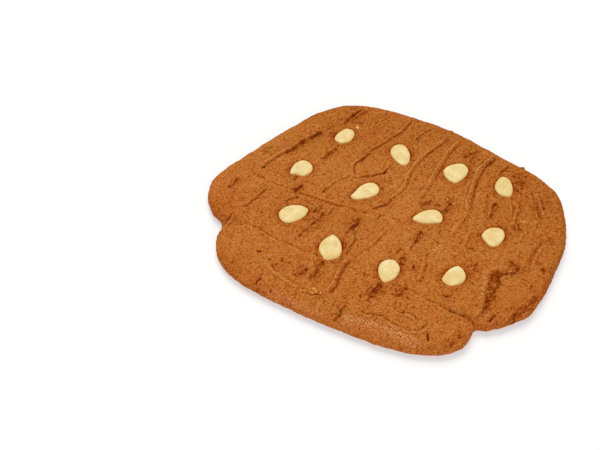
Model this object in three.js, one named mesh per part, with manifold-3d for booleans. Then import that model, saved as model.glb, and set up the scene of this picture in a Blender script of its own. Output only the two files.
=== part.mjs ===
// A large flat speculaas: a spiced dough slab baked on a belt, with split almonds pressed into its top.
// Millimetres, +Z up. The origin is on the floor under the middle of the slab's bounding box,
// +X runs along the front edge and +Y from the folded front strip to the back edge.
import * as THREE from "three";
import { mergeVertices } from "three/addons/utils/BufferGeometryUtils.js";
import Module from "manifold-3d";

const wasm = await Module();
wasm.setup();

// Driving dimensions of the slab.
const THICKNESS = 7.8; // flat middle of the slab
const CROWN = 0.7; // how much the middle stands above the shoulders
const HALF_LENGTH = 110;
const HALF_DEPTH = 95;
const WIDEST_AT = 3.4; // height of the widest line of the rounded edge
const SHOULDER = 7.5; // how far in from the edge the top starts to round over
const HEEL_HEIGHT = 1.4; // the lower edge turns in from here
const HEEL_INSET = 0.6;
const ROOT_HEIGHT = -1.2; // and runs on below the floor, where the flat base is cut
const ROOT_INSET = 3.2;

// Grid of the slab: fine across the drag marks, coarser along them, closest at the edge.
const ACROSS = 90;
const ALONG = 40;
const EDGE_STEPS = [0, 0.5, 2, 4.4, SHOULDER];

// The outline, counter-clockwise. The front strip ends in a notch at each side, where it folds over the body.
// Each stretch runs on to the first point of the next, and one smooth closed curve passes through them all.
const LEFT_NOTCH = [-82, -56];
const RIGHT_NOTCH = [84.5, -50];
const STRETCHES = {
  front: [[-71, -84.5], [-56, -92.5], [-25, -95], [10, -93.5], [45, -89.5], [66, -83]],
  rightStrip: [[77, -77], [85, -66]],
  rightBody: [RIGHT_NOTCH, [92, -46], [100.5, -35.5], [107.5, -18], [110, 4], [106, 35], [96, 60]],
  back: [[84, 77], [69, 85.5], [40, 90], [0, 95], [-28, 93], [-55, 88]],
  leftBody: [[-74, 78], [-85, 63], [-94, 38], [-104, 0], [-110, -30], [-105, -45], [-92, -56.5]],
  leftStrip: [LEFT_NOTCH, [-80, -72]],
};
const NOTCH_SHARE = 0.19; // share of each side that belongs to the strip

// Relief of the top.
const STRIP_RISE = 1.0; // the folded strip is a little thicker along its middle
const STRIP_MIDDLE = -79;
const STRIP_HALF = 11;
const CREASE_DEPTH = 0.7; // along the whole fold line
const CREASE_END_DEPTH = 1.5; // added near the two notches
const CREASE_END_REACH = 22;
const CREASE_HALF = 2.6;
const TEAR_DROP = 2.6; // the lobe beside the tear lies this much lower
const TEAR_LINE = [[84, -50], [82, -30], [76, -8]]; // edge of the overlapping dough, front to back
const TEAR_STEPS = 12;
const TEAR_WIDTH = 5;
const TEAR_REACH = 24; // the low lobe rises again over this width
const TEAR_FADE = 10; // and over this length past the tear's back end

// Drag marks left by the wire that cut the dough: their routes from back to front, and their depths.
const MARK_HALF = 2.2;
const MARK_STEPS = 4; // straight pieces for each point of a route
const MARKS = [
  { route: [[-71, 46], [-79, 24], [-93, -9]], depth: 1.0 },
  { route: [[-59, 80], [-64, 69], [-66, 58]], depth: 0.8 },
  { route: [[-54, 40], [-58, 29], [-64, 18]], depth: 0.8 },
  { route: [[-27, 86], [-31, 58], [-38, 28], [-32, 18]], depth: 0.8 },
  { route: [[-22, 37], [-25, 27], [-31, 18]], depth: 0.7 },
  { route: [[-12, 86], [-15, 70]], depth: 0.6 },
  { route: [[4, 80], [-2, 46], [0, 14], [-7, 0]], depth: 0.8 },
  { route: [[8, 80], [6, 63], [12, 18]], depth: 0.7 },
  { route: [[35, 82], [33, 66], [44, 29], [42, 5]], depth: 1.0 },
  { route: [[47, 80], [47, 56], [59, 29]], depth: 0.8 },
  { route: [[64, 54], [71, 38], [78, 28]], depth: 0.7 },
  { route: [[75, 65], [80, 56], [86, 48]], depth: 0.7 },
  { route: [[-95, -24], [-95, -37]], depth: 0.6 },
  { route: [[-72, -22], [-78, -41], [-81, -48]], depth: 0.8 },
  { route: [[-31, -14], [-35, -34]], depth: 0.8 },
  { route: [[-12, -14], [-12, -29]], depth: 0.9 },
  { route: [[27, -2], [27, -15]], depth: 0.8 },
  { route: [[1, -48], [3, -66], [1, -79]], depth: 0.9 },
  { route: [[25, -53], [23, -67]], depth: 1.1 },
  { route: [[-14, -63], [-21, -76]], depth: 0.8 },
  { route: [[99, -33], [102, -25], [105, -12]], depth: 0.9 },
];

// Split almonds, flat side down: middle, length, width and the way the pointed end looks, in degrees.
const ALMOND_DOME = 3.0;
const ALMOND_BELLY = 2.2;
const ALMOND_TAPER = 0.2; // the pointed half is narrower by this share, the blunt half wider
const ALMOND_SLOPE = 0.1; // and lower by this share, the blunt half higher
const ALMOND_RISE = 0.2; // the widest line stands this far above the dough
const ALMOND_GAP = 0.3;
const ALMOND_ROUND = 12;
const ALMOND_RINGS = 8;
const ALMONDS = [
  { at: [-57.5, 47.5], length: 17.5, width: 11.5, points: -99 },
  { at: [-18, 52], length: 21.5, width: 12.8, points: -50 },
  { at: [20.5, 57], length: 18.5, width: 15, points: -88 },
  { at: [52.5, 62], length: 18, width: 12, points: -65 },
  { at: [-66, 5], length: 16.5, width: 13.5, points: -115 },
  { at: [-20.5, 9], length: 22, width: 11.8, points: -115 },
  { at: [23.5, 11], length: 20, width: 12.5, points: -139 },
  { at: [65, 18.5], length: 17, width: 14, points: -85 },
  { at: [-49.5, -33], length: 19.5, width: 14.3, points: 58 },
  { at: [-15.5, -45], length: 21, width: 14.4, points: 109 },
  { at: [23, -41.5], length: 19, width: 13.2, points: -75 },
  { at: [58.5, -24.5], length: 17.5, width: 12.8, points: -102 },
];

const { clamp, lerp, smoothstep, degToRad } = THREE.MathUtils;
const flat = ([x, y]) => new THREE.Vector2(x, y);
const bell = (t) => Math.exp(-t * t);

// Each stretch is cut from the closed curve, to be read evenly from front to back or from left to right.
const STRETCH_STEPS = 120;
const corners = Object.values(STRETCHES).flat();
const rimPoints = corners.map(([x, y]) => new THREE.Vector3(x, y, 0));
const ring = new THREE.CatmullRomCurve3(rimPoints, true, "centripetal");
const curves = {};
let first = 0;
for (const [name, points] of Object.entries(STRETCHES)) {
  const cut = Array.from({ length: STRETCH_STEPS + 1 }, (_, i) => {
    const { x, y } = ring.getPoint((first + (points.length * i) / STRETCH_STEPS) / corners.length);
    return new THREE.Vector2(x, y);
  });
  const backward = name === "back" || name.startsWith("left");
  curves[name] = new THREE.SplineCurve(backward ? cut.reverse() : cut);
  first += points.length;
}

// A left or right side is its strip end and then its body, joined at the notch.
function sidePoint(strip, body, share) {
  return share < NOTCH_SHARE
    ? strip.getPointAt(share / NOTCH_SHARE)
    : body.getPointAt((share - NOTCH_SHARE) / (1 - NOTCH_SHARE));
}

const sides = {
  front: (t) => curves.front.getPointAt(t),
  back: (t) => curves.back.getPointAt(t),
  left: (t) => sidePoint(curves.leftStrip, curves.leftBody, t),
  right: (t) => sidePoint(curves.rightStrip, curves.rightBody, t),
};

// The closed outline, counter-clockwise, as a dense polygon for distances and normals.
const OUTLINE_STEPS = 160;
const outline = [];
for (const [side, forward] of [["front", true], ["right", true], ["back", false], ["left", false]]) {
  for (let i = 0; i < OUTLINE_STEPS; i++) {
    const t = i / OUTLINE_STEPS;
    outline.push(sides[side](forward ? t : 1 - t));
  }
}

// Distance from a point to a polyline, and how far along it the nearest point lies, from 0 to 1.
function toRoute(x, y, route, closed = false) {
  let near = { distance: Infinity, share: 0 };
  const spans = closed ? route.length : route.length - 1;
  for (let i = 0; i < spans; i++) {
    const a = route[i];
    const b = route[(i + 1) % route.length];
    const [dx, dy] = [b.x - a.x, b.y - a.y];
    const t = clamp(((x - a.x) * dx + (y - a.y) * dy) / (dx * dx + dy * dy), 0, 1);
    const distance = Math.hypot(x - a.x - t * dx, y - a.y - t * dy);
    if (distance < near.distance) near = { distance, share: (i + t) / spans };
  }
  return near;
}

const markRoutes = MARKS.map(({ route, depth }) => ({
  depth,
  route: new THREE.SplineCurve(route.map(flat)).getPoints(MARK_STEPS * route.length),
}));
const creaseRoute = [flat(LEFT_NOTCH), flat(RIGHT_NOTCH)];
const tearRoute = new THREE.SplineCurve(TEAR_LINE.map(flat)).getPoints(TEAR_STEPS);

function creaseDepth(x, y) {
  const { distance } = toRoute(x, y, creaseRoute);
  const fromEnds = Math.min(...creaseRoute.map((end) => Math.hypot(x - end.x, y - end.y)));
  const depth = CREASE_DEPTH + CREASE_END_DEPTH * bell(fromEnds / CREASE_END_REACH);
  return depth * bell(distance / CREASE_HALF);
}

// Where the edge of the tear lies at one y, held at its two ends.
function tearEdge(y) {
  const next = tearRoute.findIndex((point) => point.y > y);
  if (next <= 0) return tearRoute.at(next).x;
  const [a, b] = [tearRoute[next - 1], tearRoute[next]];
  return lerp(a.x, b.x, (y - a.y) / (b.y - a.y));
}

// The tear is a step down to its right, deepest at the step and level again at the lobe's rim.
function tearDepth(x, y) {
  const [start, end] = [tearRoute[0], tearRoute.at(-1)];
  const past = x - tearEdge(y);
  const rows = smoothstep(y, start.y - TEAR_FADE / 2, start.y + TEAR_FADE / 2)
    * (1 - smoothstep(y, end.y - TEAR_FADE / 2, end.y + TEAR_FADE));
  return TEAR_DROP * rows * smoothstep(past, 0, TEAR_WIDTH) * (1 - smoothstep(past, TEAR_WIDTH, TEAR_REACH));
}

function markDepth(x, y) {
  const groove = ({ route, depth }) => depth * bell(toRoute(x, y, route).distance / MARK_HALF);
  return Math.max(...markRoutes.map(groove));
}

// Height of the top at a point of the plan.
function topHeight(x, y) {
  const inside = toRoute(x, y, outline, true).distance;
  const rim = clamp(1 - inside / SHOULDER, 0, 1);
  const crown = CROWN * (1 - (x / HALF_LENGTH) ** 2) * (1 - (y / HALF_DEPTH) ** 2);
  const strip = STRIP_RISE * bell((y - STRIP_MIDDLE) / STRIP_HALF);
  const relief = Math.max(creaseDepth(x, y), tearDepth(x, y), markDepth(x, y));
  const middle = THICKNESS + crown + strip - relief;
  return WIDEST_AT + (middle - WIDEST_AT) * Math.sqrt(1 - rim * rim);
}

// Grid line number i of n, as a share of a span in millimetres: close at both ends, even between them.
function gridLine(i, n, span) {
  const ring = EDGE_STEPS.length - 1;
  if (i <= ring) return EDGE_STEPS[i] / span;
  if (i >= n - ring) return 1 - EDGE_STEPS[n - i] / span;
  return lerp(SHOULDER / span, 1 - SHOULDER / span, (i - ring) / (n - 2 * ring));
}

// A side point moved in from the outline, square to the side.
function insetPoint(side, t, inset, turn) {
  const STEP = 0.004;
  const point = sides[side](t);
  const along = sides[side](Math.min(t + STEP, 1)).sub(sides[side](Math.max(t - STEP, 0))).normalize();
  return point.add(new THREE.Vector2(-along.y, along.x).multiplyScalar(turn * inset));
}

// Plan of the grid: the patch spanned by the four sides, all moved in by one inset.
function planGrid(inset) {
  const us = Array.from({ length: ACROSS + 1 }, (_, i) => gridLine(i, ACROSS, 2 * HALF_LENGTH));
  const vs = Array.from({ length: ALONG + 1 }, (_, j) => gridLine(j, ALONG, 2 * HALF_DEPTH));
  const front = us.map((u) => insetPoint("front", u, inset, 1));
  const back = us.map((u) => insetPoint("back", u, inset, -1));
  const left = vs.map((v) => insetPoint("left", v, inset, -1));
  const right = vs.map((v) => insetPoint("right", v, inset, 1));
  const meet = (a, b) => a.clone().add(b).multiplyScalar(0.5);
  front[0] = left[0] = meet(front[0], left[0]);
  front[ACROSS] = right[0] = meet(front[ACROSS], right[0]);
  back[0] = left[ALONG] = meet(back[0], left[ALONG]);
  back[ACROSS] = right[ALONG] = meet(back[ACROSS], right[ALONG]);
  return (i, j) => {
    const [u, v] = [us[i], vs[j]];
    const ends = left[j].clone().lerp(right[j], u).add(front[i].clone().lerp(back[i], v));
    const low = front[0].clone().lerp(front[ACROSS], u);
    const high = back[0].clone().lerp(back[ACROSS], u);
    return ends.sub(low.lerp(high, v));
  };
}

// A closed geometry as a solid, for cutting.
function solidOf(geometry) {
  const bare = geometry.clone();
  bare.deleteAttribute("normal");
  bare.deleteAttribute("uv");
  const merged = mergeVertices(bare, 1e-4);
  return new wasm.Manifold(new wasm.Mesh({
    numProp: 3,
    vertProperties: merged.attributes.position.array,
    triVerts: new Uint32Array(merged.index.array),
  }));
}

function geometryOf(solid) {
  const { numProp, vertProperties, triVerts } = solid.getMesh();
  const places = new THREE.InterleavedBuffer(vertProperties, numProp);
  const geometry = new THREE.BufferGeometry();
  geometry.setAttribute("position", new THREE.InterleavedBufferAttribute(places, 3, 0));
  geometry.setIndex(new THREE.BufferAttribute(triVerts, 1));
  return mergeVertices(geometry.toNonIndexed(), 1e-5);
}

// The slab: a box with a grid on every face, whose top takes the relief and whose sides take the round edge.
function slabGeometry() {
  const LEVELS = 2;
  const rings = [
    { inset: ROOT_INSET, height: ROOT_HEIGHT },
    { inset: HEEL_INSET, height: HEEL_HEIGHT },
    { inset: 0, height: WIDEST_AT },
  ];
  const plans = rings.map(({ inset }) => planGrid(inset));
  const box = new THREE.BoxGeometry(ACROSS, ALONG, LEVELS, ACROSS, ALONG, LEVELS);
  const places = box.attributes.position;
  for (let n = 0; n < places.count; n++) {
    const i = Math.round(places.getX(n) + ACROSS / 2);
    const j = Math.round(places.getY(n) + ALONG / 2);
    const level = Math.round(places.getZ(n) + LEVELS / 2);
    const { x, y } = plans[level](i, j);
    const onRim = i === 0 || j === 0 || i === ACROSS || j === ALONG;
    const z = level === LEVELS && !onRim ? topHeight(x, y) : rings[level].height;
    places.setXYZ(n, x, y, z);
  }
  turnDiagonals(box);
  return box;
}

// Splits each square of a box along the diagonal whose ends are nearer in height, so that grooves run smooth.
function turnDiagonals(box) {
  const corners = box.index.array;
  const height = (n) => box.attributes.position.getZ(n);
  for (let k = 0; k < corners.length; k += 6) {
    const [a, b, d, , c] = corners.subarray(k, k + 6);
    const turn = Math.abs(height(a) - height(c)) < Math.abs(height(b) - height(d));
    if (turn) corners.set([a, b, c, a, c, d], k);
  }
}

// An almond half lies along +X, its point at +X: a ball drawn out to a point, domed above and shallow below.
function almondGeometry({ length, width }, grow = 0) {
  const ball = new THREE.SphereGeometry(1, ALMOND_ROUND, ALMOND_RINGS);
  const places = ball.attributes.position;
  for (let n = 0; n < places.count; n++) {
    const along = places.getY(n);
    const across = places.getX(n) * (1 - ALMOND_TAPER * along);
    const up = -places.getZ(n) * (1 - ALMOND_SLOPE * along);
    const rise = up > 0 ? ALMOND_DOME : ALMOND_BELLY;
    places.setXYZ(n, along * (length / 2 + grow), across * (width / 2 + grow), up * (rise + grow));
  }
  return ball;
}

function placeAlmond(mesh, { at: [x, y], points }) {
  mesh.position.set(x, y, topHeight(x, y) + ALMOND_RISE);
  mesh.rotation.z = degToRad(points);
  mesh.updateMatrix();
  return mesh;
}

const crust = new THREE.MeshStandardMaterial({ color: 0xb06a2a, roughness: 0.75, metalness: 0 });
const nut = new THREE.MeshStandardMaterial({ color: 0xebcd90, roughness: 0.55, metalness: 0 });

const speculaas = new THREE.Group();

const BELOW = 10;
const floorBlock = new THREE.BoxGeometry(4 * HALF_LENGTH, 4 * HALF_DEPTH, BELOW).translate(0, 0, -BELOW / 2);
let slab = solidOf(slabGeometry()).subtract(solidOf(floorBlock));
for (const almond of ALMONDS) {
  const seat = placeAlmond(new THREE.Mesh(almondGeometry(almond, ALMOND_GAP)), almond);
  slab = slab.subtract(solidOf(seat.geometry.applyMatrix4(seat.matrix)));
}
const biscuit = new THREE.Mesh(geometryOf(slab), crust);
biscuit.name = "biscuit";
speculaas.add(biscuit);

ALMONDS.forEach((almond, n) => {
  const half = placeAlmond(new THREE.Mesh(almondGeometry(almond), nut), almond);
  half.name = `almond_${String(n + 1).padStart(2, "0")}`;
  speculaas.add(half);
});

export default speculaas;
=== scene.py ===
import bpy
import numpy as np
from mathutils import Matrix, Vector


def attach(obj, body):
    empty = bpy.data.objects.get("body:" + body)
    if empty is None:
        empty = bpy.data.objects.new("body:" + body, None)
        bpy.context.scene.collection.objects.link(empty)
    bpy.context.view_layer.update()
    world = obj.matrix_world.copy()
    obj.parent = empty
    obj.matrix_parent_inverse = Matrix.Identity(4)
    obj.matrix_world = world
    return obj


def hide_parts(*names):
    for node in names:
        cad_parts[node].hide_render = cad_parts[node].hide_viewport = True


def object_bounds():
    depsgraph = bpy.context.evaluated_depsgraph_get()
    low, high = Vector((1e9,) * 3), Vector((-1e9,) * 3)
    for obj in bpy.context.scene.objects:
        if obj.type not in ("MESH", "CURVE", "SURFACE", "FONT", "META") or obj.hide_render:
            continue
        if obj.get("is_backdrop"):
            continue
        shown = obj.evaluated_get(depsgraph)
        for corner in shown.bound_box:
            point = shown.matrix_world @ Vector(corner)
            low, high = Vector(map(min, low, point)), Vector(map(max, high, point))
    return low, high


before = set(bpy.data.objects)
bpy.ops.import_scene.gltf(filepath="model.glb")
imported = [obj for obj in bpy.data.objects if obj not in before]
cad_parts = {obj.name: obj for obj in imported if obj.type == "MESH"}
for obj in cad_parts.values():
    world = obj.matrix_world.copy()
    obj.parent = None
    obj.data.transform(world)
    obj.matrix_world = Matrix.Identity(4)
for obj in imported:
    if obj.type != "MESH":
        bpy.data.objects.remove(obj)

cad_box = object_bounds()

# The view: a normal lens a little under 0.7 m away looks down on the biscuit from its front right, and
# leans over by three degrees. The biscuit has the place in the picture that it has in the photograph.
MM = 0.001
PICTURE = (600, 450)
FOCAL_PIXELS = 1100
SENSOR_WIDTH = 36.0
EYE = np.array([185.0, -445.2, 506.8])
AIM = np.array([-44.1, -31.9, 0.0])
LEAN = np.radians(3)

ahead = (AIM - EYE) / np.linalg.norm(AIM - EYE)
level = np.cross(ahead, (0, 0, 1))
level /= np.linalg.norm(level)
steep = np.cross(level, ahead)
right = np.cos(LEAN) * level + np.sin(LEAN) * steep
up = np.cos(LEAN) * steep - np.sin(LEAN) * level

lens = bpy.data.cameras.new("view")
lens.sensor_width = SENSOR_WIDTH
lens.lens = FOCAL_PIXELS * SENSOR_WIDTH / PICTURE[0]
camera = bpy.data.objects.new("view", lens)
turned = Matrix(np.column_stack([right, up, -ahead]))
camera.matrix_world = Matrix.LocRotScale(Vector(EYE * MM), turned, None)
bpy.context.scene.collection.objects.link(camera)
bpy.context.scene.camera = camera


# The plan of the slab: a sheet of spiced dough, pressed out on a belt and cut off by a wire. The cut front
# end is folded into a strip, with a notch at each side where the strip meets the body of the slab.
# Lengths are in millimetres, and each stretch of the outline runs on to the first point of the next.
HALF_LENGTH = 110
HALF_DEPTH = 95
LEFT_NOTCH = (-83.2, -61.4)
RIGHT_NOTCH = (85.2, -50)
NOTCH_SHARE = 0.19
STRETCHES = {
    "front": [(-71, -84.5), (-56, -92.5), (-25, -95), (10, -93.5), (45, -89.5), (66, -83)],
    "right_strip": [(77.4, -75.6), (84.6, -66.3), (86, -57)],
    "right_body": [RIGHT_NOTCH, (92, -46), (101.5, -34.5), (107.8, -23), (109.4, -8), (109, 6), (107.6, 22),
                   (106, 36), (97, 60.5)],
    "back": [(85, 77.5), (69, 85.5), (40, 90), (0, 95), (-28, 93), (-55, 88)],
    "left_body": [(-74, 78), (-85, 63), (-94, 38), (-104, 0), (-110, -30), (-105, -45), (-94.5, -55.5)],
    "left_strip": [LEFT_NOTCH, (-80, -72)],
}
SPAN_STEPS = 24
CELLS_ACROSS = 372
CELLS_ALONG = 240
EDGE_STEPS = (0, 0.12, 0.4, 0.85, 1.4, 2.1, 2.9, 3.8, 4.8, 6)


def smooth_line(points, steps, closed=False):
    """A smooth line through the points: each span is a cubic whose end slopes come from its neighbours,
    weighted by the square roots of the spans' lengths, and gets that many steps."""
    points = np.asarray(points, float)
    if closed:
        ends = points[-1:], points[:2]
    else:
        ends = 2 * points[:1] - points[1:2], 2 * points[-1:] - points[-2:-1]
    line = np.concatenate([ends[0], points, ends[1]])
    p0, p1, p2, p3 = line[:-3], line[1:-2], line[2:-1], line[3:]
    roots = np.sqrt(np.linalg.norm(np.diff(line, axis=0), axis=1))[:, None]
    r0, r1, r2 = roots[:-2], roots[1:-1], roots[2:]
    slope1 = r1 * ((p1 - p0) / r0 - (p2 - p0) / (r0 + r1) + (p2 - p1) / r1)
    slope2 = r1 * ((p2 - p1) / r1 - (p3 - p1) / (r1 + r2) + (p3 - p2) / r2)
    t = np.linspace(0, 1, steps, endpoint=False)[:, None]
    p1, p2, slope1, slope2 = (part[:, None] for part in (p1, p2, slope1, slope2))
    spans = (p1 * (2 * t**3 - 3 * t**2 + 1) + slope1 * (t**3 - 2 * t**2 + t)
             + p2 * (3 * t**2 - 2 * t**3) + slope2 * (t**3 - t**2))
    return np.concatenate([spans.reshape(-1, 2), points[:1] if closed else points[-1:]])


def along_line(line, shares):
    """The points at those shares of a line's length."""
    reach = np.append(0, np.linalg.norm(np.diff(line, axis=0), axis=1).cumsum())
    return np.stack([np.interp(shares * reach[-1], reach, line[:, k]) for k in (0, 1)], axis=-1)


def grid_lines(span, count):
    """Shares of a span where the grid's lines lie: close together at both ends and even between."""
    edge = np.array(EDGE_STEPS) / span
    middle = np.linspace(edge[-1], 1 - edge[-1], count + 3 - 2 * len(edge))
    return np.concatenate([edge[:-1], middle, 1 - edge[-2::-1]])


def side_line(strip, body, shares):
    """A left or right side: its strip end takes the first shares, and its body the rest."""
    return np.where(
        shares[:, None] < NOTCH_SHARE,
        along_line(strip, np.clip(shares / NOTCH_SHARE, 0, 1)),
        along_line(body, np.clip((shares - NOTCH_SHARE) / (1 - NOTCH_SHARE), 0, 1)),
    )


outline = smooth_line(sum(STRETCHES.values(), []), SPAN_STEPS, closed=True)
cuts = np.cumsum([0] + [len(points) for points in STRETCHES.values()]) * SPAN_STEPS
lines = {name: outline[cuts[k]:cuts[k + 1] + 1] for k, name in enumerate(STRETCHES)}
u = grid_lines(2 * HALF_LENGTH, CELLS_ACROSS)
v = grid_lines(2 * HALF_DEPTH, CELLS_ALONG)
front_side = along_line(lines["front"], u)
back_side = along_line(lines["back"][::-1], u)
left_side = side_line(lines["left_strip"][::-1], lines["left_body"][::-1], v)
right_side = side_line(lines["right_strip"], lines["right_body"], v)

# A plan point is the blend of left and right side, plus that of front and back, less that of the corners.
U, V = u[:, None, None], v[None, :, None]
corner_blend = ((1 - V) * ((1 - U) * front_side[0] + U * front_side[-1])
                + V * ((1 - U) * back_side[0] + U * back_side[-1]))
plan_grid = ((1 - U) * left_side[None] + U * right_side[None]
             + (1 - V) * front_side[:, None] + V * back_side[:, None] - corner_blend)
spots = plan_grid.reshape(-1, 2)
x, y = spots.T
ways = np.meshgrid(u * 2 * HALF_LENGTH, v * 2 * HALF_DEPTH, indexing="ij")
across, along = (way.ravel() for way in ways)


# The bulk of the slab: dense baked dough, thickest along the folded strip, with a softly rounded edge that
# the oven left. The top is nowhere quite level. A swell has its height, middle and half width, and a ripple
# has its cell, rise and seed.
THICKNESS = 7.8
CROWN = 0.7
WIDEST_AT = 3.4
SHOULDER = 5.5
FRONT_SHOULDER = 10.5
FRONT_RANGE = (50, 80)
STRIP_SWELL = (1.0, -79, 11)
SWELLS = ((34, 0.35, 1), (13, 0.16, 2))
LATTICE = 128
RIPPLE_GAIN = 1.5


def bell(t, height=1, middle=0, half=1):
    """A bell of that height about a middle, down to 0.37 of it at its half width."""
    return height * np.exp(-((t - middle) / half) ** 2)


def ease(t, low, high):
    """0 below low, 1 above high, and a smooth rise between."""
    t = np.clip((t - low) / (high - low), 0, 1)
    return t * t * (3 - 2 * t)


def ripple(x, y, cell, seed):
    """Smooth unevenness from about -1 to 1: random slopes at the corners of a square lattice of that cell,
    each carried on as a plane and blended over the cell by a fade of fifth order."""
    turn = np.random.default_rng(seed).uniform(0, 2 * np.pi, (LATTICE, LATTICE))
    column, row = np.floor(x / cell).astype(int), np.floor(y / cell).astype(int)
    x, y = x / cell - column, y / cell - row
    fade_x, fade_y = (t**3 * (t * (6 * t - 15) + 10) for t in (x, y))
    total = 0
    for i in (0, 1):
        for j in (0, 1):
            angle = turn[(column + i) % LATTICE, (row + j) % LATTICE]
            weight = (fade_x if i else 1 - fade_x) * (fade_y if j else 1 - fade_y)
            total = total + weight * (np.cos(angle) * (x - i) + np.sin(angle) * (y - j))
    return RIPPLE_GAIN * total


def ripples(x, y, waves, shift=0):
    """The sum of ripples, each given by its cell, rise and seed."""
    return sum(rise * ripple(x, y, cell, seed + shift) for cell, rise, seed in waves)


def to_route(spots, route):
    """For each spot: its distance past a route, above zero on the left of the way that the route runs and
    below zero on the right, and the share of the route's length at its nearest point."""
    near = np.full(len(spots), np.inf)
    past, share = np.zeros(len(spots)), np.zeros(len(spots))
    steps = np.diff(route, axis=0)
    lengths = np.linalg.norm(steps, axis=1)
    for start, step, length, before in zip(route, steps, lengths, np.cumsum(lengths) - lengths):
        offset = spots - start
        t = np.clip(offset @ step / length**2, 0, 1)
        apart = offset - t[:, None] * step
        distance = np.hypot(apart[:, 0], apart[:, 1])
        closer = distance < near
        near[closer] = distance[closer]
        to_left = step[0] * offset[:, 1] >= step[1] * offset[:, 0]
        past[closer] = np.where(to_left, distance, -distance)[closer]
        share[closer] = (before + t * length)[closer] / lengths.sum()
    return past, share


def swell_top(x, y):
    """Height of the top before it is marked: the thickness, a crown, the strip's rise and long swells."""
    crown = CROWN * (1 - (x / HALF_LENGTH) ** 2) * (1 - (y / HALF_DEPTH) ** 2)
    return THICKNESS + crown + bell(y, *STRIP_SWELL) + ripples(x, y, SWELLS)


inside = abs(to_route(spots, outline)[0])
shoulder = SHOULDER + (FRONT_SHOULDER - SHOULDER) * ease(-y, *FRONT_RANGE)
rounding = np.sqrt(1 - np.clip(1 - inside / shoulder, 0, 1) ** 2)
top = swell_top(x, y)


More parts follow.
